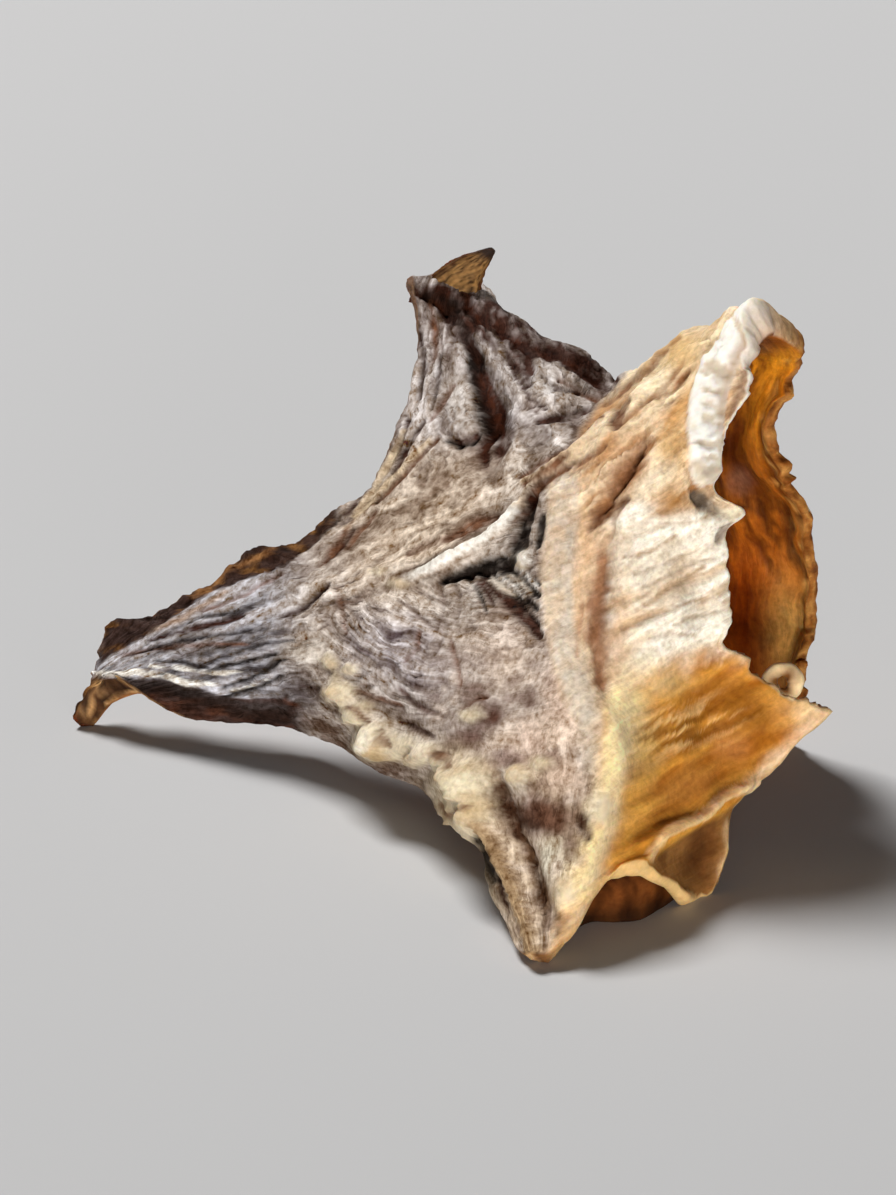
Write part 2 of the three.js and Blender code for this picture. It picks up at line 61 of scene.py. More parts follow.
# ------------------------------------------------------------------ named sizes (mm)
SHEET_WIDTH, SHEET_RUN = 50.0, 43.0
COLUMNS, ROWS = 37, 57
HALF_THICK, DISH_THIN, ARM_THICK, LEG_THICK, FAR_THIN = 1.25, 0.40, 0.55, 0.40, 0.25
RIM_BULGE, RAG, CRUMPLE, EDGE_THIN = 0.45, 0.55, 0.38, 0.30
FOLD_GAP = [[0, 0.6, 3.2, -1.5], [0.5, 0.5, 3.8, -2.0], [1, 3.1, 6.2, -3.8]]
LINES = [
    ('foot', 0.00, [
        [0.000, -30.0, 21.8, 1.4], [0.050, -26.8, 21.1, 5.0], [0.110, -21.3, 18.3, 4.0],
        [0.200, -12.2, 15.5, 4.6], [0.300, -5.1, 6.1, 4.4], [0.400, -0.2, 0.1, 4.8],
        [0.475, 3.0, -7.5, 4.0], [0.540, 5.2, -18.6, 2.4], [0.595, 7.4, -26.2, 1.0],
        [0.660, 11.0, -21.5, 4.8], [0.720, 14.9, -20.9, 6.6], [0.790, 19.3, -14.4, 1.1],
        [0.860, 22.0, -11.7, 4.4], [0.920, 23.0, -6.8, 6.8], [1.000, 30.0, -3.0, 12.4]]),
    ('low', 0.28, [
        [0.0, -24.5, 23.8, 9.4], [0.2, -9.1, 10.1, 12.5], [0.4, 0.2, -4.3, 13.1],
        [0.5, 5.3, -11.8, 13.2], [0.6, 9.6, -18.0, 12.8], [0.7, 14.1, -14.5, 11.3],
        [0.8, 17.6, -9.0, 12.3], [0.9, 20.3, -5.5, 14.5], [1.0, 23.5, -3.5, 16.4]]),
    ('mid', 0.54, [
        [0.0, -12.1, 21.3, 16.3], [0.2, -3.9, 9.8, 19.1], [0.4, 2.5, 2.3, 19.9],
        [0.52, 7.7, -3.0, 21.5], [0.62, 10.4, -3.8, 22.1], [0.75, 13.9, -5.2, 23.9],
        [0.88, 17.5, -4.0, 24.0], [1.0, 21.3, -1.5, 24.1]]),
    ('high', 0.76, [
        [0.0, -4.1, 20.3, 25.5], [0.2, 0.6, 14.0, 27.0], [0.4, 6.1, 8.4, 28.4],
        [0.6, 11.6, 2.8, 31.2], [0.8, 15.5, 0.0, 33.5], [1.0, 21.2, 1.4, 33.2]]),
    ('neck', 0.88, [
        [0.0, -1.8, 23.9, 32.0], [0.24, 4.8, 15.8, 33.0], [0.5, 12.4, 11.6, 31.6],
        [0.64, 15.3, 8.0, 34.9], [0.8, 18.1, 5.2, 37.0], [1.0, 23.6, 4.2, 38.5]]),
    ('brow', 0.97, [
        [0.00, -2.8, 27.0, 37.4], [0.06, -0.4, 28.0, 37.0], [0.11, 1.9, 28.2, 36.6],
        [0.17, 2.9, 26.2, 35.3], [0.26, 5.9, 23.8, 34.5], [0.38, 10.4, 20.6, 33.1],
        [0.50, 13.3, 18.0, 31.1], [0.62, 15.8, 14.0, 34.4], [0.78, 19.4, 10.4, 38.8],
        [0.90, 22.4, 7.4, 41.1], [1.00, 24.7, 6.2, 42.0]]),
    ('nape', 1.08, None),
    ('shoulder', 1.28, [
        [0.0, 0.2, 33.5, 31.0], [0.25, 5.0, 31.5, 28.0], [0.5, 13.0, 26.0, 25.5],
        [0.75, 20.0, 19.5, 29.0], [1.0, 25.9, 12.6, 30.5]]),
    ('back', 1.55, [
        [0.0, -2.5, 36.5, 19.0], [0.25, 5.0, 34.5, 17.5], [0.5, 13.0, 27.5, 16.5],
        [0.75, 21.5, 21.0, 18.0], [1.0, 28.6, 13.4, 20.3]]),
    ('hem', 2.00, [
        [0.00, -5.0, 37.0, 8.5], [0.16, -1.0, 41.0, 1.4], [0.34, 6.5, 37.5, 5.0],
        [0.52, 13.5, 31.0, 8.5], [0.72, 20.5, 25.0, 5.0], [0.88, 25.5, 18.5, 1.3],
        [1.00, 27.6, 14.0, 5.5]]),
]
# broad relief of the outer face, as on the solid: height, half width, path in (u, v)
RELIEF = [
    ('vein', 0.35, 0.6, [[0.18, 0.54], [0.31, 0.60], [0.41, 0.64], [0.46, 0.71], [0.58, 0.78], [0.67, 0.85]]),
    ('smooth ridge', 0.8, 2.4, [[0.67, 0.75], [0.57, 0.67], [0.55, 0.58], [0.58, 0.46], [0.60, 0.38]]),
    ('streak', -0.8, 1.5, [[0.79, 0.76], [0.73, 0.69], [0.71, 0.55], [0.65, 0.40]]),
    ('leg ridge', 0.9, 1.3, [[0.50, 0.10], [0.55, 0.06], [0.59, 0.02]]),
    ('leg valley', -0.9, 1.1, [[0.52, 0.18], [0.56, 0.13], [0.60, 0.04]]),
    ('rim ridge', 0.9, 1.3, [[0.64, 0.39], [0.66, 0.27], [0.63, 0.16], [0.61, 0.02]]),
    ('horn cleft', -1.5, 1.4, [[0.18, 0.89], [0.26, 0.84], [0.31, 0.76]]),
    ('pleat', 0.9, 1.2, [[0.91, 0.05], [0.85, 0.09], [0.77, 0.13], [0.72, 0.10]]),
    ('flank knobs', 0.8, 1.4, [[0.24, 0.19], [0.31, 0.12], [0.35, 0.12], [0.40, 0.17]]),
    ('leg knob', 1.0, 1.6, [[0.47, 0.15], [0.50, 0.11]]),
]
NUB = dict(centre=(26.5, -3.1, 15.0), ring=1.05, tube=0.62)
# tears and tongues of the long edges: side, v, half width, how far out, how far up
TEARS = [
    ('left', 0.19, 2.6, 0.6, 2.4), ('left', 0.34, 1.6, -0.6, 0.4), ('left', 0.46, 2.8, 0.8, 2.3), ('left', 0.60, 2.2, 0.0, 0.8),
    ('right', 0.38, 2.2, -1.4, 0), ('right', 0.51, 1.1, 0.5, 0), ('right', 0.645, 1.0, 2.4, 0), ('right', 0.69, 0.9, -0.5, 0),
    ('right', 1.34, 1.6, -0.6, 0), ('right', 1.72, 3.0, -1.0, 0),
]
SLIDE_FADE, LIFT_FADE = 1.8, 3.0
HORN_TIP = dict(root=(-0.3, 28.3, 35.9), bend=(0.7, 28.6, 38.3), end=(3.7, 28.6, 40.3),
                wide=2.9, deep=1.5, point=0.22, groove=0.45)
TUCK = dict(start=0.622, stop=0.775, behind=1.1, back=3.0, foot=1.35, half=0.5)

# ------------------------------------------------------------------ helpers
def through(xs, ys, x):
    """smooth curve through stations xs -> ys, read at the array x"""
    xs = np.asarray(xs, float); ys = np.asarray(ys, float)
    n = len(xs); ex = (...,) + (None,) * (ys.ndim - 1)
    h = xs[1:] - xs[:-1]
    d = (ys[1:] - ys[:-1]) / h[ex]
    m = np.zeros_like(ys)
    for i in range(1, n - 1):
        m[i] = (d[i - 1] * h[i] + d[i] * h[i - 1]) / (h[i - 1] + h[i])
    m[0] = 1.5 * d[0] - 0.5 * m[1]
    m[-1] = 1.5 * d[-1] - 0.5 * m[-2]
    x = np.asarray(x, float)
    k = np.clip(np.searchsorted(xs, x, side='right') - 1, 0, n - 2)
    t = ((x - xs[k]) / h[k])[ex]; H = h[k][ex]
    return ((2 * t**3 - 3 * t**2 + 1) * ys[k] + (t**3 - 2 * t**2 + t) * m[k] * H
            + (-2 * t**3 + 3 * t**2) * ys[k + 1] + (t**3 - t**2) * m[k + 1] * H)

def line_points(k, u):
    st = LINES[k][2]
    if st is not None:
        return through([s[0] for s in st], [s[1:] for s in st], u)
    return line_points(k - 1, u) + through([s[0] for s in FOLD_GAP], [s[1:] for s in FOLD_GAP], u)

def ease(x, a, b):
    t = np.clip((x - a) / (b - a), 0.0, 1.0)
    return t * t * (3 - 2 * t)

def bump(x, c, w):
    return np.exp(-(((x - c) / w) ** 2))

def path_dist(x, y, path):
    """distance to a path, and how far along it (0..1) the nearest point lies"""
    best = np.full(np.shape(x), 1e9); along = np.zeros(np.shape(x))
    seg = [math.dist(path[i], path[i + 1]) for i in range(len(path) - 1)]
    total = sum(seg); run = 0.0
    for i in range(len(path) - 1):
        ax, ay = path[i]; bx = path[i + 1][0] - ax; by = path[i + 1][1] - ay
        t = np.clip(((x - ax) * bx + (y - ay) * by) / (bx * bx + by * by), 0, 1)
        d = np.hypot(x - ax - t * bx, y - ay - t * by)
        near = d < best
        best = np.where(near, d, best)
        along = np.where(near, (run + t * seg[i]) / total, along)
        run += seg[i]
    return best, along

def signed(x, y, poly):
    """signed distance to a closed outline, negative inside"""
    d, _ = path_dist(x, y, list(poly) + [poly[0]])
    ins = np.zeros(np.shape(x), bool)
    n = len(poly)
    for i in range(n):
        x0, y0 = poly[i]; x1, y1 = poly[(i + 1) % n]
        c = ((y0 > y) != (y1 > y))
        with np.errstate(divide='ignore', invalid='ignore'):
            xi = (x1 - x0) * (y - y0) / ((y1 - y0) if y1 != y0 else 1e-9) + x0
        ins ^= c & (x < xi)
    return np.where(ins, -d, d)

def hash2(ix, iy, seed):
    h = (ix.astype(np.int64) * 374761393 + iy.astype(np.int64) * 668265263 + seed * 1442695041) & 0xffffffff
    h = ((h ^ (h >> 13)) * 1274126177) & 0xffffffff
    h = (h ^ (h >> 16)) & 0xffffffff
    return h / 4294967295.0

def noise(x, y, seed=0):
    """value noise, -1..1, one lattice cell per unit"""
    ix = np.floor(x); iy = np.floor(y)
    fx = x - ix; fy = y - iy
    fx = fx * fx * fx * (fx * (fx * 6 - 15) + 10); fy = fy * fy * fy * (fy * (fy * 6 - 15) + 10)
    a = hash2(ix, iy, seed); b = hash2(ix + 1, iy, seed)
    c = hash2(ix, iy + 1, seed); d = hash2(ix + 1, iy + 1, seed)
    return ((a * (1 - fx) + b * fx) * (1 - fy) + (c * (1 - fx) + d * fx) * fy) * 2 - 1

def fbm(x, y, seed=0, octaves=4, gain=0.5):
    s = 0.0; a = 1.0; t = 0.0
    for o in range(octaves):
        s = s + a * noise(x * 2**o + 17.3 * o, y * 2**o - 9.1 * o, seed + 31 * o); t += a; a *= gain
    return s / t

def cells(x, y, seed=0):
    """distance to the nearest cell wall (0 on the wall), and a number for the cell"""
    ix = np.floor(x); iy = np.floor(y)
    f1 = np.full(np.shape(x), 9.0); f2 = np.full(np.shape(x), 9.0); who = np.zeros(np.shape(x))
    for dx in (-1, 0, 1):
        for dy in (-1, 0, 1):
            cx = ix + dx; cy = iy + dy
            px = cx + 0.15 + 0.7 * hash2(cx, cy, seed + 3); py = cy + 0.15 + 0.7 * hash2(cx, cy, seed + 7)
            d = np.hypot(x - px, y - py)
            nearer = d < f1
            f2 = np.where(nearer, f1, np.minimum(f2, d))
            who = np.where(nearer, hash2(cx, cy, seed + 11), who)
            f1 = np.where(nearer, d, f1)
    return f2 - f1, who

# ------------------------------------------------------------------ the loft, at the solid's grid
ug = np.linspace(0, 1, COLUMNS); vg = np.linspace(0, 2, ROWS)
rows = np.stack([line_points(k, ug) for k in range(len(LINES))], 0)
middle = through([l[1] for l in LINES], rows, vg) - ORIGIN
for _ in range(3):
    m = middle.copy()
    m[1:-1, 1:-1] = (4 * middle[1:-1, 1:-1] + middle[:-2, 1:-1] + middle[2:, 1:-1]
                     + middle[1:-1, :-2] + middle[1:-1, 2:]) / 8
    middle = m

def grid_normals(net, passes):
    p = np.pad(net, ((1, 1), (1, 1), (0, 0)), mode='edge')
    n = np.cross(p[1:-1, 2:] - p[1:-1, :-2], p[2:, 1:-1] - p[:-2, 1:-1])
    n /= np.linalg.norm(n, axis=-1, keepdims=True) + 1e-12
    for _ in range(passes):
        q = np.pad(n, ((1, 1), (1, 1), (0, 0)), mode='edge')
        n = 2 * n + q[:-2, 1:-1] + q[2:, 1:-1] + q[1:-1, :-2] + q[1:-1, 2:]
        n /= np.linalg.norm(n, axis=-1, keepdims=True) + 1e-12
    return n
coarse_normals = grid_normals(middle, 3)

def crumple(u, v):
    a = u * SHEET_WIDTH; b = v * SHEET_RUN
    return CRUMPLE * (np.sin(0.52 * a + 0.21 * b + 0.6) * np.sin(0.33 * b - 0.17 * a + 1.9)
                      + 0.6 * np.sin(0.95 * a - 0.36 * b + 2.2) * np.sin(0.61 * b + 0.25 * a))
def far_folds(u, v):
    return ease(v, 1.15, 1.6) * (0.9 * np.sin(18.5 * u + 0.8 + 0.9 * v) + 0.45 * np.sin(35 * u + 2.1 - 1.3 * v))
def rag(s):
    return RAG * (0.55 * np.sin(1.15 * s + 0.4) + 0.45 * np.sin(2.35 * s + 1.7) * np.sin(0.41 * s))
def half_thickness(u, v):
    h = HALF_THICK - DISH_THIN * ease(u, 0.62, 0.76) * (1 - ease(v, 0.25, 0.45))
    h = h + ARM_THICK * bump(u, 0.12, 0.12) * bump(v, 0.0, 0.14)
    h = h + LEG_THICK * bump(u, 0.57, 0.05) * (1 - ease(v, 0.10, 0.35))
    h = h - FAR_THIN * ease(v, 1.1, 1.5)
    h = h - 0.30 * bump(u, 0.0, 0.05) - 0.15 * bump(u, 1.0, 0.05)
    h = h - EDGE_THIN * bump(u, 1.0, 0.08) * ease(v, 1.05, 1.25)
    return h - 0.25 * bump(v, 0.97, 0.12) * bump(u, 0.05, 0.2)
def broad_relief(u, v):
    d = 0.0
    for _, h, w, path in RELIEF:
        r, _a = path_dist(u * SHEET_WIDTH, v * SHEET_RUN, [(p[0] * SHEET_WIDTH, p[1] * SHEET_RUN) for p in path])
        d = d + h * np.exp(-(r / w) ** 2)
    return d

# ------------------------------------------------------------------ fine grid
NU = 221                                  # columns, odd: the inner face takes every other one
NV_NEAR, NV_FAR = 208, 116
vf = np.concatenate([np.linspace(0, 1.04, NV_NEAR, endpoint=False), np.linspace(1.04, 2, NV_FAR + 1)])
NV = len(vf)
if NV % 2 == 0:
    vf = np.concatenate([vf[:1], (vf[1:] * 0.9999 + 0.0001 * 2)]) if False else np.insert(vf, NV_NEAR, 0.5 * (vf[NV_NEAR - 1] + vf[NV_NEAR]))
    NV = len(vf)
uf = np.linspace(0, 1, NU)
fine = through(ug, np.swapaxes(through(vg, middle, vf), 0, 1), uf)          # (NU, NV, 3)
fine = np.swapaxes(fine, 0, 1)
nrm = np.swapaxes(through(ug, np.swapaxes(through(vg, coarse_normals, vf), 0, 1), uf), 0, 1)
nrm /= np.linalg.norm(nrm, axis=-1, keepdims=True)
U, Vv = np.meshgrid(uf, vf)
fine = fine + nrm * (crumple(U, Vv) + far_folds(U, Vv))[..., None]

# torn edge: slide the sheet near its edges along itself
eu = np.gradient(fine, uf, axis=1); ev = np.gradient(fine, vf, axis=0)
eu /= np.linalg.norm(eu, axis=-1, keepdims=True); ev /= np.linalg.norm(ev, axis=-1, keepdims=True)
A = U * SHEET_WIDTH; B = Vv * SHEET_RUN    # mm on the sheet
def torn(s, seed, fine_size=0.30):
    swell = 0.25 + 1.5 * np.clip(0.5 + noise(s / 4.5, s * 0 + 6.1, seed + 9), 0, 1) ** 2
    return 0.5 * rag(s) + swell * fine_size * (noise(s / 1.3, s * 0 + 3.3, seed) + 0.6 * noise(s / 0.5, s * 0 + 8.1, seed + 5))
def tear(side):
    out, up = 0.0, 0.0
    for where, v0, w, far_, lift in TEARS:
        if where == side:
            out = out + far_ * bump(B, v0 * SHEET_RUN, w); up = up + lift * bump(B, v0 * SHEET_RUN, w)
    return out, up
dist_l = A; dist_r = SHEET_WIDTH - A; dist_b = B; dist_t = 2 * SHEET_RUN - B
ends_v = ease(Vv, 0, 0.05) * (1 - ease(Vv, 1.95, 2)); ends_u = ease(U, 0, 0.04) * (1 - ease(U, 0.96, 1))
fall = lambda d, w=1.3: np.exp(-(d / w) ** 2)
crumbly = 0.30 + 0.20 * ease(Vv, 1.05, 1.2)
left_out, left_up = tear('left'); right_out, right_up = tear('right')
fine = fine + (-eu * ((torn(B + 7, 1) * fall(dist_l) + left_out * fall(dist_l, SLIDE_FADE)) * ends_v)[..., None]
               + eu * ((torn(B + 31, 2, crumbly) * fall(dist_r) + right_out * fall(dist_r, SLIDE_FADE)) * ends_v)[..., None]
               - ev * (torn(A + 3, 3) * fall(dist_b) * ends_u)[..., None]
               + ev * (torn(A + 53, 4) * fall(dist_t) * ends_u)[..., None])
fine[..., 2] += (left_up * fall(dist_l, LIFT_FADE) + right_up * fall(dist_r, LIFT_FADE)) * ends_v

# where each point lies on the plane that leans back with the near half:
# X to the right, Y down, 12.6 units to a millimetre
VDIR = (AIM - EYE) / np.linalg.norm(AIM - EYE)
VUP = np.array([0, -VDIR[2], VDIR[1]])
def leaning(P):
    q = P + ORIGIN - EYE
    z = q @ VDIR
    return 448 + FOCAL * q[..., 0] / z, 597.5 - FOCAL * (q @ VUP) / z
h = half_thickness(U, Vv)
broad = broad_relief(U, Vv)
X, Y = leaning(fine + nrm * (h + broad)[..., None])
near = 1 - ease(Vv, 1.03, 1.10)            # the near half, up to the crest

# ------------------------------------------------------------------ fields on the near outer face
n_slow = fbm(X / 42, Y / 42, 5, 3); n_mid = fbm(X / 13, Y / 13, 6, 3); n_fast = fbm(X / 5.5, Y / 5.5, 7, 3)
m_slow = fbm(X / 42 + 50, Y / 42 - 50, 8, 3); m_mid = fbm(X / 13 + 50, Y / 13, 9, 3)
def wobbled(k):
    return X + k * (7 * n_slow + 4 * n_mid), Y + k * (7 * m_slow + 4 * m_mid)
X5, Y5 = wobbled(0.5)
def zone(poly, soft=6.0, wobble=1.0):
    x, y = wobbled(wobble)
    return 1 - ease(signed(x, y, poly), -soft, soft)
def line(path, width, taper=0.3, wobble=0.35):
    """0..1 across a soft line, 1 on its middle"""
    x, y = wobbled(wobble)
    d, t = path_dist(x, y, path)
    w = width * (1 - taper * np.abs(2 * t - 1) ** 2) * (1 + 0.25 * n_mid)
    return np.exp(-(d / np.maximum(w, 0.6)) ** 2)
def cord(path, radius, taper=0.3, wobble=0.3):
    """a round cord: its height as a part of the radius"""
    x, y = wobbled(wobble)
    d, t = path_dist(x, y, path)
    w = np.maximum(radius * (1 - taper * np.abs(2 * t - 1) ** 2), 0.8)
    return np.sqrt(np.clip(1 - (d / w) ** 2, 0, 1))
def dot(x, y, rx, ry=None, angle=0.0, wobble=0.6):
    px, py = wobbled(wobble)
    ry = ry or rx; c, s = math.cos(angle), math.sin(angle)
    dx = (px - x) * c + (py - y) * s; dy = -(px - x) * s + (py - y) * c
    return np.exp(-((dx / rx) ** 2 + (dy / ry) ** 2) ** 1.5)

# zones
right = zone([(626, 376), (600, 400), (574, 440), (548, 486), (539, 560), (543, 620), (560, 690), (585, 742),
              (600, 800), (586, 850), (560, 900), (545, 975), (640, 1000), (930, 1000), (930, 230), (700, 230)], 6, 0.6)
dish = zone([(606, 700), (628, 676), (660, 668), (700, 652), (745, 664), (790, 676), (870, 700), (840, 740), (780, 810),
             (770, 960), (545, 975), (575, 905), (590, 850), (606, 790), (602, 740)], 8, 0.7)
cream = zone([(606, 520), (640, 496), (696, 510), (770, 500), (770, 560), (760, 620), (745, 656), (700, 664),
              (640, 676), (606, 660), (600, 600)], 7, 0.7) * (1 - 0.7 * dish)
strand = right * (1 - ease(Y, 486, 530)) * (1 - cream)
skin = 1 - right
ridge_pale = zone([(556, 470), (574, 462), (580, 500), (572, 560), (574, 620), (592, 690), (606, 740), (592, 770),
                   (566, 700), (548, 640), (540, 570), (544, 510)], 5, 0.6)
armz = 1 - ease(X, 262, 322)
hornz = (1 - ease(Y, 420, 462)) * skin
legz = zone([(448, 742), (500, 735), (560, 760), (606, 770), (610, 830), (575, 980), (480, 980), (430, 830)], 12) * skin

# wrinkles that run out of the arm's tip and up into the horn, rings round the fissured patch between
warp1 = 0.8 * n_mid; warp2 = 0.8 * m_mid
thL = np.arctan2(Y - 716, X - 30); rL = np.hypot(X - 30, Y - 716)
flowL = fbm(thL * 24 + 0.5 * warp1, rL / 75 + 0.2 * warp2, 23, 3)
thH = np.arctan2(Y - 205, X - 452); rH = np.hypot(X - 452, Y - 205)
flowH = fbm(thH * 15 + 0.6 * warp1, rH / 62 + 0.2 * warp2, 24, 3)
rM = np.hypot(X - 486, Y - 474); thM = np.arctan2(X - 486, Y - 474)
flowM = fbm(rM / 12 + 0.9 * n_slow + 0.4 * n_mid, thM * 4.2 + 0.5 * m_slow, 25, 3)
upper_w = 1 - ease(Y + 0.3 * (X - 420), 556, 604)
acrU = X * 0.43 + Y * 0.90 + 9 * n_slow + 3.5 * n_mid; alU = X * 0.90 - Y * 0.43
flowM = (upper_w * fbm(acrU / 10, alU / 62, 34, 3) + (1 - upper_w) * flowM) / np.sqrt(upper_w**2 + (1 - upper_w) ** 2)
rG = np.hypot(X - 548, Y - 1020); thG = np.arctan2(X - 548, 1020 - Y)
flowG = fbm(thG * 13 + 0.4 * warp1, rG / 66 + 0.2 * warp2, 29, 3)
wH = 1 - ease(Y, 440, 540)
wL = (1 - ease(X, 270, 380)) * (1 - wH)
wG = ease(Y + 0.25 * (X - 500), 700, 800) * (1 - wL)
wM = np.clip(1 - wL - wH - wG, 0, 1)
calm = ease(Y, 600, 680) * ease(X, 400, 450)            # the smoother lower part of the skin
total_w = np.sqrt(wL**2 + wH**2 + wM**2 + wG**2 + 1e-6)
flow = (wL * flowL + wH * flowH + wM * flowM + wG * flowG) / total_w * (1 - 0.45 * calm * wM)
crease = (wL * np.exp(-(flowL / 0.055) ** 2) * np.clip(0.55 + 1.6 * fbm(thL * 9, rL / 60, 26, 2), 0, 1)
          + wH * np.exp(-(flowH / 0.06) ** 2) * np.clip(0.5 + 1.6 * fbm(thH * 7, rH / 50, 27, 2), 0, 1)
          + wG * 0.8 * np.exp(-(flowG / 0.06) ** 2) * np.clip(0.3 + 1.6 * fbm(thG * 7, rG / 50, 30, 2), 0, 1)
          + wM * (1 - 0.6 * calm) * np.exp(-(flowM / 0.06) ** 2) * np.clip(0.3 + 1.8 * fbm(X / 34, Y / 34, 28, 2), 0, 1))
e1, _c = cells((X5 + 6 * n_mid) / 17, (Y5 + 6 * m_mid) / 14, 31)
net = np.exp(-(e1 / 0.13) ** 2) * np.clip(0.15 + 1.5 * fbm(X / 40, Y / 40, 33, 2), 0, 1)
speck = fbm(X / 5.2, Y / 5.2, 35, 2)
e2, _c = cells(X5 / 5.4, Y5 / 4.8, 37)
pimple = np.clip(1 - e2 * 2.2, 0, 1)       # fine grain of the skin, dark between the grains

# ------------------------------------------------------------------ relief (mm, outward) and cracks
D = np.zeros_like(U)
D += skin * (0.15 * flow * (1 - 0.55 * wM) + 0.045 * speck - 0.03 * pimple)
D -= skin * (0.22 * crease + 0.14 * net)
crack = skin * np.clip(0.75 * crease + 0.45 * net * (1 - armz), 0, 1)

# cream flesh: fibres that rise to the right; strands that fan up to the crest
fibx = X * 0.86 - Y * 0.5 + 5 * n_slow; fiby = X * 0.5 + Y * 0.86 + 6 * m_slow
fib = fbm(fibx / 48, fiby / 9.5, 62, 3)
fib_line = np.exp(-(fib / 0.09) ** 2) * np.clip(0.35 + 1.4 * fbm(X / 30, Y / 22, 63, 2), 0, 1)
D += right * (cream * (0.34 * fib - 0.14 * fib_line) + (1 - cream) * (1 - dish) * 0.05 * speck)
stx = X * 0.76 - Y * 0.65 + 6 * n_slow; sty = X * 0.65 + Y * 0.76 + 9 * m_slow + 3 * n_mid
st = fbm(stx / 90, sty / 8, 64, 3)
st_line = np.exp(-(st / 0.10) ** 2) * np.clip(0.4 + 1.5 * fbm(X / 28, Y / 28, 65, 2), 0, 1)
D += strand * (0.50 * st - 0.20 * st_line)

# dish: glossy flesh with faint ribs
ribx = X * 0.88 - Y * 0.47; riby = X * 0.47 + Y * 0.88
rib = fbm(ribx / 60, riby / 11 + 0.5 * m_slow, 71, 2)
D += dish * (0.16 * rib + 0.10 * fbm(X / 28, Y / 28, 72, 2))
rib_zone = dot(684, 728, 52, 26, -0.3, 0.8)
D += 0.26 * rib_zone * fbm(ribx / 40, riby / 5.6 + 0.6 * m_mid, 74, 3)
roll_path = [(757, 783), (738, 790), (720, 798), (704, 815), (682, 824), (664, 834), (651, 854)]
roll = cord(roll_path, 6.5, 0.2, 0.2)
side = (X - 651) * 0.53 + (Y - 854) * 0.85                        # > 0 below the roll
rd, rt = path_dist(X, Y, roll_path)
panel = dish * ease(side, 0, 7) * ease(X, 640, 656) * ease(Y, 786, 800)
D += dish * 0.55 * roll * (1 + 0.5 * n_mid) - 0.65 * panel * (1 - roll)
arch_rim = cord([(586, 898), (602, 882), (628, 874), (652, 876), (676, 888), (700, 900)], 7, 0.1, 0.2) * dish
D += 0.25 * arch_rim * (1 + 0.5 * n_mid)
left_rim = line([(622, 694), (618, 730), (616, 760), (606, 820), (588, 876), (572, 932)], 13, 0.2, 0.4)
D += 0.16 * left_rim * (1 - skin * 0.5)
thin_edge = line([(824, 712), (796, 742), (768, 764), (748, 782)], 7, 0.1, 0.4) * dish
D += 0.12 * thin_edge

# cords: the vein, the mouth's lip, ridges of the leg
vein_path = [(390, 588), (405, 578), (437, 561), (455, 553), (475, 543), (492, 533), (505, 524), (515, 509)]
vein_x, vein_y = wobbled(0.45)
vein = cord(vein_path, 5.5, 0.30, 0.45) * ease(path_dist(vein_x, vein_y, vein_path)[1], 0.02, 0.40)
vein2 = cord([(515, 509), (527, 492), (545, 474), (575, 446), (612, 410)], 4.5, 0.4, 0.8)
D += 0.60 * vein + 0.22 * vein2
lip_path = [(758, 318), (738, 338), (720, 366), (708, 396), (704, 430), (704, 470)]
lip = cord(lip_path, 18, 0.10, 0.3)
lip_x = np.interp(Y, [p_[1] for p_ in lip_path], [p_[0] for p_ in lip_path])
_ld, lip_t = path_dist(X, Y, lip_path)
lip_cross = fbm(lip_t * 26 + 0.25 * n_fast, (X - lip_x) / 22, 66, 2)
D += lip * (0.85 + 0.20 * n_mid + 0.30 * lip_cross)
legr = cord([(488, 828), (503, 862), (516, 894), (528, 928), (533, 956)], 8, 0.1, 0.3)
leg_left = cord([(462, 836), (478, 868), (498, 902)], 8, 0.3, 0.4)
D += 0.65 * legr + 0.25 * leg_left
arm_edge = np.maximum(cord([(92, 672), (117, 675), (137, 672), (160, 677), (186, 684), (212, 684)], 3.8, 0.4, 0.5),
                      0.8 * cord([(150, 668), (185, 670), (214, 674), (238, 668)], 3.0, 0.5, 0.6))
arm_edge = np.maximum(arm_edge, 0.7 * cord([(225, 694), (248, 686), (270, 676)], 3.0, 0.5, 0.6))
arm_edge = arm_edge * np.clip(0.75 + 1.3 * n_mid + 0.5 * n_fast, 0, 1)
D += 0.30 * arm_edge
KNOBS = [(342, 694, 14, 12, .6), (356, 716, 12, 10, .6), (375, 740, 18, 15, .9), (401, 743, 13, 10, .6), (424, 752, 16, 10, .6), (446, 764, 13, 10, .7),
         (470, 782, 26, 26, 1.15), (470, 808, 24, 20, 1.0), (468, 832, 15, 14, .6), (522, 777, 12, 9, .6), (475, 713, 9, 7, .25), (398, 583, 12, 4, .15), (377, 570, 10, 4, .15),
         (520, 560, 7, 11, .5), (598, 808, 11, 15, .5), (565, 890, 9, 15, .4), (350, 668, 8, 5, .4), (328, 660, 8, 6, .4), (498, 590, 6, 4, .3), (540, 764, 9, 7, .4)]
knob, knob_h = np.zeros_like(U), np.zeros_like(U)
for kx, ky, ra, rb, up_ in KNOBS:
    k_ = dot(kx, ky, ra * 1.1, rb * 1.1, 0.0, 0.9)
    knob = np.maximum(knob, k_ * min(1.0, 0.4 + up_)); knob_h = np.maximum(knob_h, k_ ** 0.8 * up_)
knob_band = line([(332, 676), (348, 704), (372, 734), (404, 744), (440, 756), (462, 776), (472, 806), (478, 840), (490, 870)], 12, 0.3, 1.2) * np.clip(0.8 + 0.9 * n_mid + 0.4 * m_slow, 0, 1)
D += 1.15 * knob_h * (1 + 0.2 * n_mid + 0.15 * n_fast) + 0.45 * knob_band * (1 + 0.5 * n_mid)
smooth_ = np.clip(1.2 * knob + 0.6 * knob_band + vein, 0, 1)

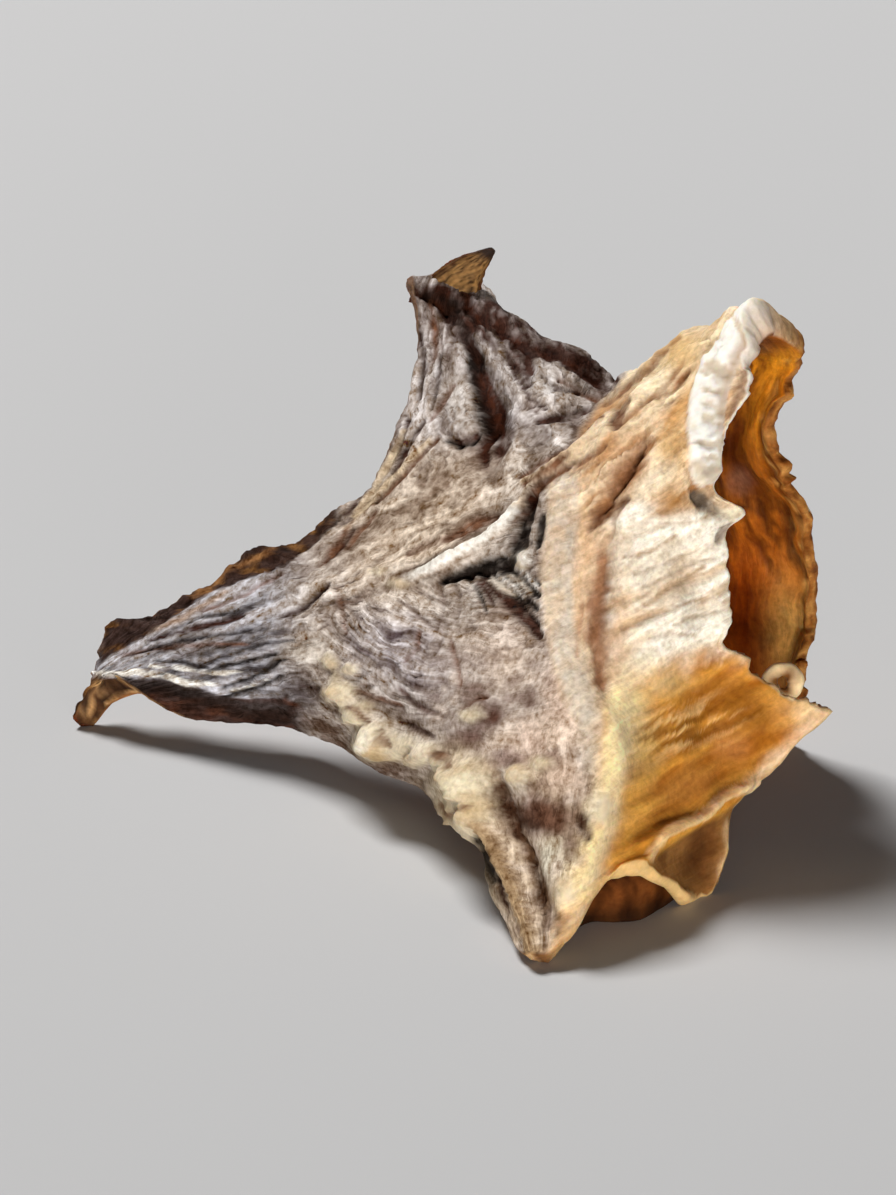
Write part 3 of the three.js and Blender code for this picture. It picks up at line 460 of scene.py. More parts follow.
# ------------------------------------------------------------------ painted marks: colour, strength, width, depth, path
BLACK, UMBER, SEPIA, GREYED = (20, 9, 4), (58, 26, 12), (106, 66, 42), (96, 72, 60)
MARKS = [
    # painted shadow under the vein, and the dark fissures below it
    (BLACK, 1.0, 5.5, -0.60, [(443, 578), (455, 574), (470, 568), (490, 563), (512, 560), (519, 545), (524, 520), (530, 498)]),
    (UMBER, .95, 5.5, -0.45, [(482, 577), (496, 590), (511, 604), (526, 618), (538, 634)]),
    (BLACK, .90, 4.0, -0.40, [(490, 572), (508, 586), (524, 600), (534, 609)]),
    (BLACK, .85, 3.6, -0.35, [(496, 567), (514, 578), (537, 596)]),
    (UMBER, .80, 3.0, -0.30, [(468, 574), (482, 588), (492, 604)]),
    # these two lines are painted soft shade above the vein
    (SEPIA, .80, 4.0, -0.25, [(446, 538), (462, 530), (480, 521), (496, 518)]),
    (SEPIA, .60, 3.6, -0.15, [(408, 552), (430, 542), (450, 537)]),
    (BLACK, .80, 3.6, -0.25, [(536, 545), (538, 528), (541, 517)]),
    (UMBER, .80, 3.4, -0.25, [(520, 514), (526, 500), (536, 488), (552, 472)]),
    (BLACK, .85, 2.0, -0.25, [(462, 572), (476, 590), (486, 612)]),
    (BLACK, .85, 2.0, -0.25, [(500, 566), (520, 573), (539, 586)]),
    (BLACK, .80, 2.2, -0.25, [(500, 586), (520, 606), (536, 622)]),
    (BLACK, .80, 2.0, -0.20, [(474, 570), (498, 580), (522, 602)]),
    ((226, 216, 206), .80, 2.0, 0.12, [(494, 575), (508, 584), (522, 596)]),
    ((226, 216, 206), .75, 1.8, 0.10, [(514, 567), (527, 577), (538, 590)]),
    ((232, 224, 214), .85, 5.0, 0.25, [(520, 553), (527, 562)]),
    # thin creases of the middle
    (GREYED, .55, 2.2, -0.12, [(398, 600), (411, 609), (424, 621), (438, 632)]),
    (GREYED, .45, 2.2, -0.10, [(436, 580), (442, 598), (442, 616), (438, 630)]),
    (GREYED, .40, 2.2, -0.10, [(456, 584), (459, 602), (456, 620)]),
    (GREYED, .40, 2.2, -0.10, [(352, 654), (364, 664), (380, 669)]),
    (GREYED, .40, 2.2, -0.10, [(402, 672), (418, 664), (433, 654), (446, 636)]),
    (GREYED, .35, 2.0, -0.08, [(372, 640), (392, 650), (412, 648)]),
    # painted shadow below a wrinkle
    ((84, 56, 46), .65, 3.2, -0.15, [(398, 690), (411, 702), (424, 710), (444, 716)]),
    (SEPIA, .60, 3.0, -0.15, [(358, 690), (374, 700), (400, 706)]),
    # painted shadow below a wrinkle
    ((84, 56, 46), .65, 3.2, -0.15, [(396, 718), (414, 727), (434, 738)]),
    (SEPIA, .70, 3.0, -0.20, [(450, 640), (456, 660), (460, 684)]),
    (SEPIA, .75, 2.6, -0.20, [(464, 707), (476, 699), (488, 696)]),
    (UMBER, .75, 2.6, -0.20, [(290, 617), (310, 600), (328, 582)]),
    (UMBER, .75, 2.6, -0.20, [(322, 562), (334, 552), (345, 540), (352, 530)]),
    (SEPIA, .60, 2.4, -0.15, [(336, 588), (342, 610), (344, 634)]),
    (SEPIA, .60, 2.4, -0.15, [(420, 632), (416, 650), (404, 662)]),
    # arm
    (UMBER, .80, 2.8, -0.22, [(150, 641), (172, 634), (190, 629), (217, 622), (243, 616)]),
    (UMBER, .75, 2.6, -0.20, [(283, 617), (303, 604), (323, 588)]),
    (BLACK, .75, 2.6, -0.18, [(206, 672), (226, 664), (248, 660), (276, 654)]),
    (BLACK, .70, 2.2, -0.15, [(156, 661), (184, 663), (206, 668)]),
    (BLACK, .80, 2.6, -0.25, [(220, 688), (250, 677), (282, 661)]),
    (BLACK, .80, 3.0, -0.25, [(222, 698), (240, 692), (258, 687), (280, 676)]),
    (SEPIA, .70, 2.6, -0.18, [(120, 655), (160, 648), (200, 645), (245, 644)]),
    (SEPIA, .65, 2.4, -0.15, [(200, 612), (240, 596), (280, 572)]),
    ((38, 30, 30), .75, 2.2, -0.18, [(140, 652), (176, 642), (214, 636), (252, 630)]),
    ((38, 30, 30), .65, 2.0, -0.15, [(170, 630), (206, 616), (240, 610)]),
    ((38, 30, 30), .65, 2.0, -0.15, [(236, 652), (262, 644), (290, 640)]),
    # horn
    (UMBER, .95, 4.6, -0.35, [(414, 290), (432, 297), (448, 302), (470, 306), (492, 324), (514, 338), (556, 356), (584, 372), (606, 385)]),
    (UMBER, .90, 6.0, -0.10, [(426, 288), (452, 292), (480, 300), (506, 318), (536, 336), (566, 352), (592, 364), (614, 380)]),
    (UMBER, .85, 5.0, -0.25, [(440, 300), (462, 314), (484, 334), (504, 352), (520, 368), (530, 382)]),
    (BLACK, .80, 5.0, -0.20, [(424, 292), (440, 297), (456, 303), (474, 314)]),
    (UMBER, .92, 6.0, -0.40, [(470, 304), (484, 318), (503, 332), (518, 345), (527, 356), (531, 369)]),
    (UMBER, .85, 4.5, -0.35, [(436, 300), (450, 318), (462, 338), (476, 356)]),
    # black lines in the horn's cleft: painted shade in the recess
    (BLACK, .95, 5.5, -0.55, [(476, 352), (480, 368), (483, 390), (486, 408), (492, 426)]),
    (BLACK, .92, 9.0, -0.50, [(489, 404), (497, 420), (492, 434)]),
    (BLACK, .95, 5.0, -0.40, [(471, 352), (475, 370), (477, 392), (480, 412), (486, 430)]),
    (UMBER, .85, 8.0, -0.20, [(480, 372), (486, 392), (496, 412), (506, 432), (500, 450)]),
    (UMBER, .85, 4.5, -0.40, [(490, 430), (482, 448), (483, 466)]),
    (UMBER, .85, 3.6, -0.30, [(449, 432), (456, 443), (472, 434)]),
    (UMBER, .75, 3.4, -0.25, [(588, 408), (566, 416), (540, 420)]),
    (UMBER, .80, 3.0, -0.25, [(408, 418), (398, 446), (380, 482), (364, 508), (340, 524)]),
    (SEPIA, .80, 3.0, -0.22, [(438, 438), (410, 467), (390, 488), (374, 504)]),
    (SEPIA, .70, 3.0, -0.20, [(560, 378), (580, 392), (596, 398)]),
    (UMBER, .85, 3.0, -0.22, [(424, 420), (408, 446), (396, 468), (384, 488)]),
    (UMBER, .80, 3.0, -0.20, [(392, 428), (382, 456), (366, 486), (350, 508), (336, 520)]),
    ((216, 192, 160), .75, 3.0, 0.10, [(402, 430), (390, 460), (372, 490), (352, 516)]),
    ((216, 192, 160), .70, 3.0, 0.10, [(430, 440), (404, 466), (386, 484), (362, 510), (344, 530)]),
    (SEPIA, .75, 2.6, -0.15, [(352, 520), (336, 544), (318, 566)]),
    (SEPIA, .70, 2.4, -0.15, [(376, 512), (360, 530), (346, 548)]),
    ((206, 192, 176), .75, 3.2, 0.10, [(486, 577), (496, 584), (508, 592)]),
    ((206, 192, 176), .70, 2.6, 0.10, [(505, 574), (518, 582), (528, 592)]),
    (SEPIA, .75, 3.0, -0.20, [(430, 300), (436, 330), (434, 360)]),
    ((40, 20, 12), .90, 5.0, -0.30, [(446, 306), (460, 324), (470, 342), (478, 356)]),
    ((48, 24, 12), .75, 2.4, -0.20, [(420, 330), (424, 362), (420, 398)]),
    ((48, 24, 12), .70, 2.4, -0.20, [(440, 352), (438, 380), (430, 410)]),
    (UMBER, .75, 2.4, -0.20, [(506, 352), (516, 376), (530, 396), (548, 408)]),
    (UMBER, .65, 2.4, -0.18, [(540, 372), (556, 386), (578, 392)]),
    (BLACK, .75, 3.0, -0.30, [(446, 440), (458, 446), (470, 442), (478, 432)]),
    (SEPIA, .65, 3.0, -0.20, [(454, 384), (440, 404), (430, 420)]),
    # strands up to the crest
    ((112, 72, 48), .80, 3.0, -0.20, [(520, 478), (540, 464), (562, 451), (584, 436), (604, 418)]),
    ((222, 196, 162), .75, 3.4, 0.12, [(524, 484), (546, 470), (570, 456), (592, 442), (612, 424)]),
    ((128, 84, 56), .75, 2.6, -0.18, [(532, 492), (556, 474), (580, 460), (604, 444)]),
    ((128, 84, 56), .70, 2.6, -0.15, [(604, 404), (624, 388), (646, 370), (668, 350)]),
    ((150, 102, 62), .65, 2.6, -0.15, [(618, 424), (640, 404), (662, 386), (684, 360)]),
    (SEPIA, .80, 3.0, -0.25, [(524, 486), (548, 470), (572, 455)]),
    (SEPIA, .85, 4.2, -0.35, [(628, 400), (620, 412), (614, 424)]),
    ((150, 100, 60), .70, 3.0, -0.18, [(656, 396), (672, 384), (688, 368)]),
    ((164, 116, 68), .65, 3.0, -0.15, [(640, 372), (658, 354), (680, 336)]),
    ((150, 98, 58), .55, 9.0, -0.40, [(646, 442), (636, 456), (626, 472), (614, 488), (604, 504)]),
    ((112, 64, 32), .60, 4.0, -0.25, [(640, 452), (628, 468), (614, 488), (602, 508)]),
    ((104, 58, 28), .70, 4.6, -0.30, [(628, 500), (612, 506), (600, 516), (590, 526)]),
    ((150, 100, 56), .75, 3.4, -0.20, [(690, 470), (694, 486), (700, 500)]),
    # cream flesh
    ((186, 156, 124), .80, 2.6, -0.22, [(622, 556), (638, 555), (654, 550), (676, 536)]),
    ((186, 156, 124), .80, 2.6, -0.22, [(650, 602), (668, 590), (684, 580), (704, 566)]),
    ((186, 156, 124), .80, 2.6, -0.22, [(664, 612), (684, 604), (710, 598)]),
    ((196, 160, 122), .60, 3.0, -0.15, [(622, 628), (646, 618), (664, 610)]),
    ((176, 150, 122), .60, 2.2, -0.16, [(644, 586), (664, 578), (688, 566), (712, 556)]),
    ((176, 150, 122), .55, 2.2, -0.16, [(636, 574), (660, 566), (690, 552)]),
    ((182, 154, 124), .55, 2.2, -0.14, [(672, 626), (692, 618), (716, 612)]),
    ((182, 154, 124), .50, 2.0, -0.14, [(648, 640), (668, 634), (694, 636)]),
    ((188, 158, 126), .50, 2.0, -0.12, [(660, 524), (684, 522), (706, 518)]),
    ((170, 120, 84), .65, 4.0, -0.22, [(602, 556), (598, 580), (597, 602)]),
    ((150, 102, 70), .65, 3.6, -0.22, [(596, 622), (594, 646), (598, 668), (603, 688)]),
    ((176, 132, 100), .50, 3.0, -0.12, [(582, 604), (580, 630), (576, 656)]),
    ((178, 150, 126), .70, 3.0, -0.20, [(608, 540), (614, 520), (624, 506)]),
    # under the lip; the first line is painted shadow below the lip's end
    ((104, 90, 76), .90, 6.0, -0.45, [(697, 496), (706, 504), (716, 512)]),
    ((120, 100, 84), .80, 3.5, -0.25, [(716, 540), (722, 530), (730, 524)]),
    # front leg
    ((34, 20, 8), .95, 4.2, -0.45, [(481, 838), (485, 850), (489, 864), (495, 880)]),
    (UMBER, .85, 2.4, -0.30, [(495, 878), (500, 894), (507, 914)]),
    ((72, 42, 24), .85, 6.0, -0.40, [(503, 786), (505, 802), (510, 820), (518, 838)]),
    ((84, 54, 28), .90, 6.0, -0.50, [(522, 842), (531, 862), (538, 882), (543, 904), (546, 926)]),
    ((54, 30, 14), .80, 3.0, -0.25, [(530, 862), (537, 884), (541, 906)]),
    (UMBER, .60, 3.0, -0.20, [(551, 906), (556, 918), (558, 934)]),
    ((150, 112, 70), .60, 3.0, -0.15, [(560, 915), (566, 930), (562, 948)]),
    (UMBER, .85, 5.0, -0.30, [(583, 818), (588, 838)]),
    ((98, 64, 46), .58, 12.0, -0.06, [(536, 790), (546, 806), (556, 826)]),
    (SEPIA, .70, 3.0, -0.20, [(388, 728), (391, 736), (398, 742)]),
    (SEPIA, .70, 3.0, -0.20, [(352, 706), (362, 708), (372, 722)]),
    (SEPIA, .70, 3.4, -0.20, [(440, 752), (452, 756), (462, 764)]),
    (SEPIA, .60, 3.0, -0.15, [(446, 800), (462, 812), (482, 806)]),
]
marks = []
for colour, strength, width, depth, path in MARKS:
    k_ = np.minimum(1, (1.8 if width > 3.3 else 1.3) * line(path, width * (1.15 if width > 3.3 else 1.0), 0.35, 0.30))
    k_ = k_ * np.clip(1 + 0.5 * n_mid + 0.35 * n_fast, 0.3, 1.2)
    D += near * depth * k_
    marks.append((colour, np.clip(strength * 1.1 * k_, 0, 0.97)))

# skin edge lines and the cut flank of the arm
flank_line = through([60, 100, 130, 200, 230, 285, 330, 420],
                     np.array([[684], [676], [677], [690], [698], [700], [726], [800.]]), np.clip(X, 60, 420))[..., 0]
flank = ease(Y5, flank_line - 2, flank_line + 4) * (1 - ease(X, 288, 312))
D += flank * (0.30 * fbm(X / 18, Y / 8, 85, 3) - 0.20)
rear_line = through([80, 93, 133, 183, 200, 240, 283, 320, 350, 380],
                    np.array([[676], [668], [645], [612], [597], [582], [566], [540], [510], [470.]]), np.clip(X, 80, 380))[..., 0]
rear = (1 - ease(Y5, rear_line - 5, rear_line + 1)) * (1 - ease(X, 330, 352)) * ease(X, 88, 100)
D += rear * (0.35 * fbm(X / 12, Y / 9, 87, 3) - 0.25)
D = D * near

# far outer face: hanging folds and coarse skin, the same kind of surface
far = 1 - near
wA = 0.9 * fbm(A / 3.2, B / 3.2, 21, 3); wB = 0.9 * fbm(A / 3.2, B / 3.2, 22, 3)
ffl = fbm((A + wA) / 0.95, B / 5.5 + 0.3 * wB, 91, 3)
fcr = np.exp(-(ffl / 0.06) ** 2) * np.clip(0.45 + 1.6 * fbm(A / 3, B / 6, 92, 2), 0, 1)
fe, _c = cells((A + 1.3 * wA) / 1.5, (B + 1.3 * wB) / 1.7, 93)
fnet = np.exp(-(fe / 0.13) ** 2) * np.clip(0.2 + 1.5 * fbm(A / 4, B / 4, 94, 2), 0, 1)
fsp = fbm(A / 0.45, B / 0.45, 95, 2)
ffib = fbm((A * 0.8 + B * 0.6) / 4.5, (-A * 0.6 + B * 0.8 + wA) / 0.8, 96, 3)
fleshy_far = ease(U + 0.10 * fbm(A / 5, B / 5, 97, 3), 0.60, 0.74)     # bare flesh towards the open side
D += far * ((1 - fleshy_far) * (0.22 * ffl - 0.22 * fcr - 0.15 * fnet + 0.08 * fsp) + fleshy_far * (0.34 * ffib + 0.05 * fsp))

# ------------------------------------------------------------------ inner face
Xi, Yi = leaning(fine - nrm * h[..., None])
ist = fbm((A + 1.2 * wA) / 1.5, B / 8 + 0.3 * wB, 101, 3)
isf = fbm((A + wA) / 0.6, B / 3.5, 102, 3)
Di = 0.38 * ist * (0.35 + 0.65 * far) + 0.14 * isf + 0.10 * fbm(A / 0.8, B / 0.8, 103, 2)
D = np.maximum(D, 0.35 - 2 * h - broad - Di)        # a crack never goes through the sheet
outer = fine + nrm * (h + broad + D)[..., None]
inner = fine - nrm * (h + Di)[..., None]

# ------------------------------------------------------------------ colours (sRGB 0-255 -> linear)
def lin(c):
    c = np.asarray(c, float) / 255.0
    return np.where(c <= 0.04045, c / 12.92, ((c + 0.055) / 1.055) ** 2.4)
def lay(base, colour, m):
    m = np.clip(m, 0, 1)[..., None]
    return base * (1 - m) + lin(colour) * m
one = np.ones_like(U)

# skin
tone = np.clip(0.66 + 0.28 * speck + 0.95 * flow - 0.14 * pimple, 0, 1)
dark_c = lin((102, 80, 66)) * one[..., None]; pale_c = lin((218, 204, 192)) * one[..., None]
dark_c = lay(dark_c, (70, 64, 66), armz); pale_c = lay(pale_c, (196, 192, 197), armz * 0.85)
upper = dot(425, 520, 95, 60, -0.6) * skin
dark_c = lay(dark_c, (128, 104, 84), upper * 0.8); pale_c = lay(pale_c, (222, 200, 176), upper * 0.8)
dark_c = lay(dark_c, (74, 54, 46), hornz * 0.6); pale_c = lay(pale_c, (230, 220, 216), hornz * 0.7)
dark_c = lay(dark_c, (110, 80, 58), legz * 0.7); pale_c = lay(pale_c, (204, 178, 146), legz * 0.8)
lilac = np.clip(dot(392, 656, 70, 42, 0.5, 1.6) * (0.55 + 0.6 * m_slow + 0.3 * n_mid), 0, 1)
dark_c = lay(dark_c, (86, 76, 88), lilac * 0.7); pale_c = lay(pale_c, (186, 178, 186), lilac * 0.6)
col = dark_c * (1 - tone[..., None]) + pale_c * tone[..., None]
for c_, k_, x_, y_, rx, ry, an in [((206, 192, 180), .60, 462, 402, 17, 34, -0.25), ((196, 182, 172), .55, 548, 392, 40, 20, 0.35),
                                   ((208, 196, 186), .50, 562, 396, 22, 14, 0.3), ((60, 50, 54), .65, 303, 700, 22, 20, 0.4),
                                   ((206, 194, 186), .75, 560, 378, 32, 11, 0.5), ((216, 204, 196), .70, 556, 396, 28, 12, 0.1), ((198, 188, 180), .60, 458, 404, 15, 30, -0.2), ((96, 76, 68), .55, 452, 318, 26, 20, 0.6), ((200, 186, 168), .55, 306, 652, 26, 16, -0.3), ((214, 202, 190), .35, 470, 600, 30, 26, 0.3),
                                   ((196, 168, 146), .45, 500, 650, 34, 40, 0.0), ((112, 80, 68), .60, 474, 736, 16, 12, 0.5),
                                   ((92, 62, 50), .80, 494, 716, 9, 10, 0.0), ((116, 84, 66), .60, 545, 757, 9, 9, 0.0),
                                   ((104, 66, 50), .85, 532, 812, 28, 20, 0.5), ((110, 76, 58), .60, 510, 760, 14, 20, 0.0),
                                   ((216, 196, 168), .55, 566, 735, 22, 20, 0.0), ((206, 190, 164), .70, 556, 858, 14, 24, 0.2),
                                   ((126, 108, 90), .60, 425, 792, 22, 24, 0.7), ((224, 204, 186), .60, 512, 672, 22, 26, 0.2), ((226, 206, 190), .55, 560, 700, 16, 30, 0.1),
                                   ((222, 204, 188), .55, 520, 740, 16, 18, 0.4), ((104, 72, 58), .75, 548, 764, 9, 12, 0.3), ((100, 74, 66), .70, 488, 722, 16, 22, 0.5), ((232, 214, 198), .80, 522, 776, 14, 9, 0.2), ((228, 208, 190), .60, 500, 740, 12, 18, 0.2), ((226, 208, 190), .60, 575, 784, 12, 18, 0.0),
                                   ((98, 70, 58), .60, 530, 696, 10, 12, 0.3), ((108, 78, 62), .55, 470, 690, 14, 9, 0.2), ((220, 202, 184), .60, 536, 838, 10, 18, 0.3),
                                   ((206, 190, 176), .45, 320, 636, 40, 16, -0.4), ((204, 184, 164), .45, 372, 560, 34, 18, -0.7), ((150, 140, 134), .50, 190, 643, 40, 10, -0.1)]:
    col = lay(col, c_, k_ * dot(x_, y_, rx, ry, an, 1.0))
blotch = fbm(X / 19 + 3, Y / 17, 36, 3)
col = lay(col, (232, 212, 196), skin * calm * np.clip(blotch * 1.8, 0, 1) * 0.65)
col = lay(col, (112, 84, 74), skin * calm * np.clip(-blotch * 1.8 - 0.1, 0, 1) * 0.55)
for c_, k_, x_, y_, rx, ry, an in [((214, 186, 166), .75, 562, 700, 20, 48, -0.2), ((222, 196, 174), .85, 552, 733, 38, 22, 0.1), ((226, 206, 186), .60, 514, 738, 12, 12, 0.0),
                                   ((84, 52, 40), .92, 496, 715, 8, 9, 0.2), ((106, 76, 66), .75, 478, 737, 12, 12, 0.4),
                                   ((122, 98, 96), .70, 506, 758, 15, 12, 0.3), ((100, 66, 50), .80, 546, 760, 7, 11, 0.2),
                                   ((70, 42, 30), .96, 548, 816, 23, 17, 0.45), ((60, 36, 24), .85, 534, 824, 15, 10, 0.3),
                                   ((74, 42, 24), .90, 504, 794, 9, 15, 0.3), ((236, 228, 218), .92, 518, 780, 12, 8, 0.5),
                                   ((206, 178, 156), .80, 566, 776, 22, 18, 0.3), ((196, 166, 148), .55, 528, 742, 16, 20, 0.0), ((112, 78, 62), .60, 582, 812, 6, 20, 0.2), ((208, 198, 176), .85, 549, 860, 11, 19, 0.3),
                                   ((240, 222, 182), .90, 573, 900, 13, 34, 0.25), ((150, 132, 112), .50, 430, 790, 22, 22, 0.7),
                                   ((242, 230, 206), .90, 598, 806, 12, 17, 0.3), ((176, 150, 120), .50, 474, 862, 8, 24, 0.35)]:
    col = lay(col, c_, k_ * dot(x_, y_, rx, ry, an, 1.6))
col = lay(col, (76, 44, 26), crack * 0.8)
# flesh of the right face
rt_ = np.clip(0.64 + 2.0 * st, 0, 1)
rcol = lin((196, 146, 98)) * (1 - rt_[..., None]) + lin((255, 230, 194)) * rt_[..., None]
rcol = lay(rcol, (126, 80, 46), st_line * 0.85)
st2 = fbm(stx / 62, sty / 3.7, 67, 2)
st2_line = np.exp(-(st2 / 0.10) ** 2) * np.clip(0.3 + 1.6 * fbm(X / 20, Y / 20, 68, 2), 0, 1)
rcol = lay(rcol, (150, 102, 64), st2_line * 0.6)
crest = (1 - ease(Y, 350, 420)) * (1 - ease(X, 700, 740))
rcol = lay(rcol, (254, 230, 190), crest * 0.6)
lower = 1 - strand
ct = np.clip(0.66 + 1.2 * fib, 0, 1)
ccol = lin((214, 184, 150)) * (1 - ct[..., None]) + lin((255, 246, 228)) * ct[..., None]
ccol = lay(ccol, (192, 156, 118), fib_line * 0.5)
rcol = rcol * (1 - cream[..., None]) + ccol * cream[..., None]
rcol = lay(rcol, (216, 188, 156), lower * (1 - cream) * (1 - dish) * 0.7)
def paint(c, spots):
    for c_, k_, x_, y_, rx, ry, an in spots:
        c = lay(c, c_, k_ * dot(x_, y_, rx, ry, an, 1.0))
    return c
rcol = paint(rcol, [
    ((204, 156, 80), .70, 678, 352, 26, 16, -0.8), ((250, 226, 186), .60, 646, 366, 30, 8, -0.7),
    ((214, 166, 104), .60, 686, 404, 12, 30, 0.2), ((210, 162, 94), .75, 672, 452, 17, 28, 0.1),
    ((176, 120, 54), .80, 674, 496, 19, 16, 0.1), ((168, 112, 50), .60, 664, 508, 10, 6, 0.0),
    ((168, 116, 76), .70, 624, 476, 18, 26, 0.75), ((110, 62, 32), .80, 606, 508, 15, 8, -0.35),
    ((150, 104, 74), .80, 601, 574, 9, 34, 0.0), ((134, 90, 62), .85, 601, 628, 9, 46, 0.0),
    ((132, 84, 56), .80, 611, 586, 9, 6, -0.4), ((140, 90, 62), .75, 593, 606, 7, 11, 0.0),
    ((120, 74, 48), .85, 601, 676, 8, 13, 0.1), ((158, 108, 78), .65, 590, 640, 6, 10, 0.0),
    ((206, 166, 134), .55, 618, 650, 10, 26, 0.0), ((200, 162, 128), .55, 620, 606, 10, 16, 0.0), ((244, 232, 214), .60, 572, 560, 8, 30, 0.0), ((236, 220, 200), .55, 566, 620, 8, 34, 0.0),
    ((255, 238, 204), .75, 662, 384, 26, 13, -0.75), ((252, 230, 194), .60, 640, 420, 34, 9, -0.75), ((244, 214, 176), .55, 590, 476, 34, 9, -0.8),
    ((232, 190, 146), .60, 578, 560, 12, 52, 0.1), ((250, 232, 204), .70, 654, 476, 26, 12, -0.7),
    ((254, 246, 228), .70, 700, 630, 40, 22, -0.2), ((254, 246, 228), .55, 650, 560, 30, 26, -0.4),
    ((222, 190, 152), .55, 628, 612, 14, 46, 0.05), ((240, 214, 170), .70, 644, 672, 34, 16, -0.1)])
rcol = lay(rcol, (208, 196, 180), ridge_pale * (0.62 + 0.5 * n_mid + 0.2 * n_slow))
col = col * (1 - right[..., None]) + rcol * right[..., None]
col = lay(col, (216, 198, 176), ridge_pale * skin * np.clip(0.6 + 0.8 * n_mid, 0, 0.9))
col = lay(col, (126, 84, 54), 0.55 * dot(603, 600, 8, 48, 0.03, 0.9) * np.clip(0.9 + 0.8 * n_mid, 0, 1))
# amber dish: golden cream at its left and top, partly painted highlight; amber in the hollow, ribs across the middle
dish_c = zone([(612, 706), (634, 690), (664, 676), (700, 656), (745, 664), (790, 676), (870, 700), (840, 740), (780, 810),
               (770, 960), (545, 975), (575, 905), (594, 850), (612, 790), (608, 740)], 15, 1.6)
dt = np.clip(0.5 + 1.1 * rib, 0, 1)
dcol = lin((172, 102, 26)) * (1 - dt[..., None]) + lin((218, 154, 64)) * dt[..., None]
dcol = paint(dcol, [
    ((246, 222, 168), .90, 628, 714, 24, 48, 0.0), ((222, 184, 122), .75, 668, 684, 30, 12, -0.12),
    ((226, 184, 110), .60, 650, 752, 18, 34, 0.2), ((156, 96, 24), .80, 726, 694, 36, 15, 0.15),
    ((152, 92, 24), .80, 752, 716, 20, 26, -0.5), ((190, 126, 66), .80, 729, 742, 17, 21, -0.2),
    ((166, 108, 38), .65, 688, 738, 28, 10, -0.25), ((176, 116, 54), .65, 690, 786, 38, 14, -0.4),
    ((218, 160, 74), .90, 632, 820, 18, 44, 0.25), ((182, 116, 30), .70, 642, 846, 12, 18, 0.2),
    ((244, 214, 160), .85, 606, 818, 10, 50, 0.3), ((246, 208, 158), .95, 812, 714, 30, 20, 0.6),
    ((196, 136, 66), .65, 782, 716, 11, 16, 0.4), ((228, 184, 138), .80, 782, 750, 34, 8, -0.78)])
ribs = fbm(ribx / 40, riby / 5.6 + 0.6 * m_mid, 74, 3)
dcol = lay(dcol, (150, 92, 28), rib_zone * np.clip(-ribs * 4.2, 0, 1) * 0.90)
dcol = lay(dcol, (248, 208, 146), rib_zone * np.clip(ribs * 3.4, 0, 1) * 0.70)
# painted highlight along the dish's left ridge
dcol = lay(dcol, (250, 228, 186), np.clip(left_rim * 1.2, 0, 1) * 0.60 * (0.9 + 0.6 * n_mid))
dcol = lay(dcol, (146, 100, 54), panel * 0.9)
# painted shadow: a dark brown band on the panel under the roll, with its edge line
dcol = lay(dcol, (88, 52, 22), panel * 0.95 * np.maximum(dot(704, 852, 17, 40, 0.1, 0.8), 0.8 * dot(668, 850, 8, 14, 0.0, 1.0)))
dcol = lay(dcol, (120, 74, 34), panel * 0.7 * line([(716, 818), (716, 846), (708, 878)], 4, 0.3, 0.8))
dcol = lay(dcol, (232, 196, 146), panel * 0.8 * line([(732, 822), (733, 850), (726, 876)], 5, 0.3, 0.7))
dcol = lay(dcol, (240, 206, 156), np.clip(roll * 1.3, 0, 1) * 0.9 * (0.85 + 0.5 * n_mid))
dcol = lay(dcol, (150, 98, 46), line([(p[0] - 1, p[1] - 9) for p in roll_path], 3.0, 0.3, 0.2) * 0.5)
dcol = lay(dcol, (232, 190, 130), np.clip(arch_rim * 1.2, 0, 1) * 0.7)
dcol = lay(dcol, (236, 202, 166), thin_edge * 0.75 * (0.9 + 0.6 * n_mid))
col = col * (1 - dish_c[..., None]) + dcol * dish_c[..., None]
# painted highlight: a pale golden line along the dish's left ridge
col = lay(col, (255, 230, 176), line([(616, 694), (615, 730), (614, 764), (606, 800), (597, 836), (585, 870), (572, 902)], 12, 0.25, 0.7) * near * 0.97 * np.clip(0.95 + 0.6 * n_mid, 0, 1))
# raised pale parts, then the marks
col = lay(col, (255, 250, 240), np.clip(vein * 1.6, 0, 1) * 0.97 * (0.92 + 0.3 * n_fast))
col = lay(col, (226, 200, 168), np.clip(vein2 * 1.2, 0, 1) * 0.6)
col = lay(col, (206, 188, 154), knob_band * 0.70)
# painted shade between the knobs of the band
col = lay(col, (152, 134, 106), knob_band * np.clip(-2.2 * n_mid + 0.1, 0, 1) * 0.7)
col = lay(col, (224, 208, 178), np.clip(knob * 1.4, 0, 1) * 0.85)
col = lay(col, (196, 160, 112), np.clip(knob * 1.2, 0, 1) * 0.55 * np.clip(0.1 + 1.5 * n_mid, 0, 1))
# the first dots paint highlight on the knobs' upper sides and shade below them
for c_, k_, x_, y_, rx, ry, an in [((172, 152, 118), .65, 455, 806, 11, 22, -0.2), ((234, 220, 188), .85, 474, 784, 15, 14, 0.0), ((190, 160, 114), .60, 486, 808, 8, 16, 0.2),
                                   ((250, 240, 218), .80, 374, 735, 10, 7, 0.3), ((186, 150, 96), .60, 386, 748, 12, 6, 0.2), ((176, 150, 110), .60, 412, 752, 8, 6, 0.0),
                                   ((246, 230, 206), .80, 424, 746, 10, 6, 0.2), ((168, 140, 104), .60, 448, 774, 10, 6, 0.3),
                                   ((118, 94, 72), .40, 510, 876, 12, 28, -0.2), ((238, 232, 228), .55, 540, 382, 26, 13, 0.5),
                                   ((72, 38, 18), .55, 437, 293, 17, 10, 0.0)]:
    col = lay(col, c_, k_ * dot(x_, y_, rx, ry, an, 1.0))
col = lay(col, (164, 134, 98), np.clip(legr * 1.3, 0, 1) * 0.92)
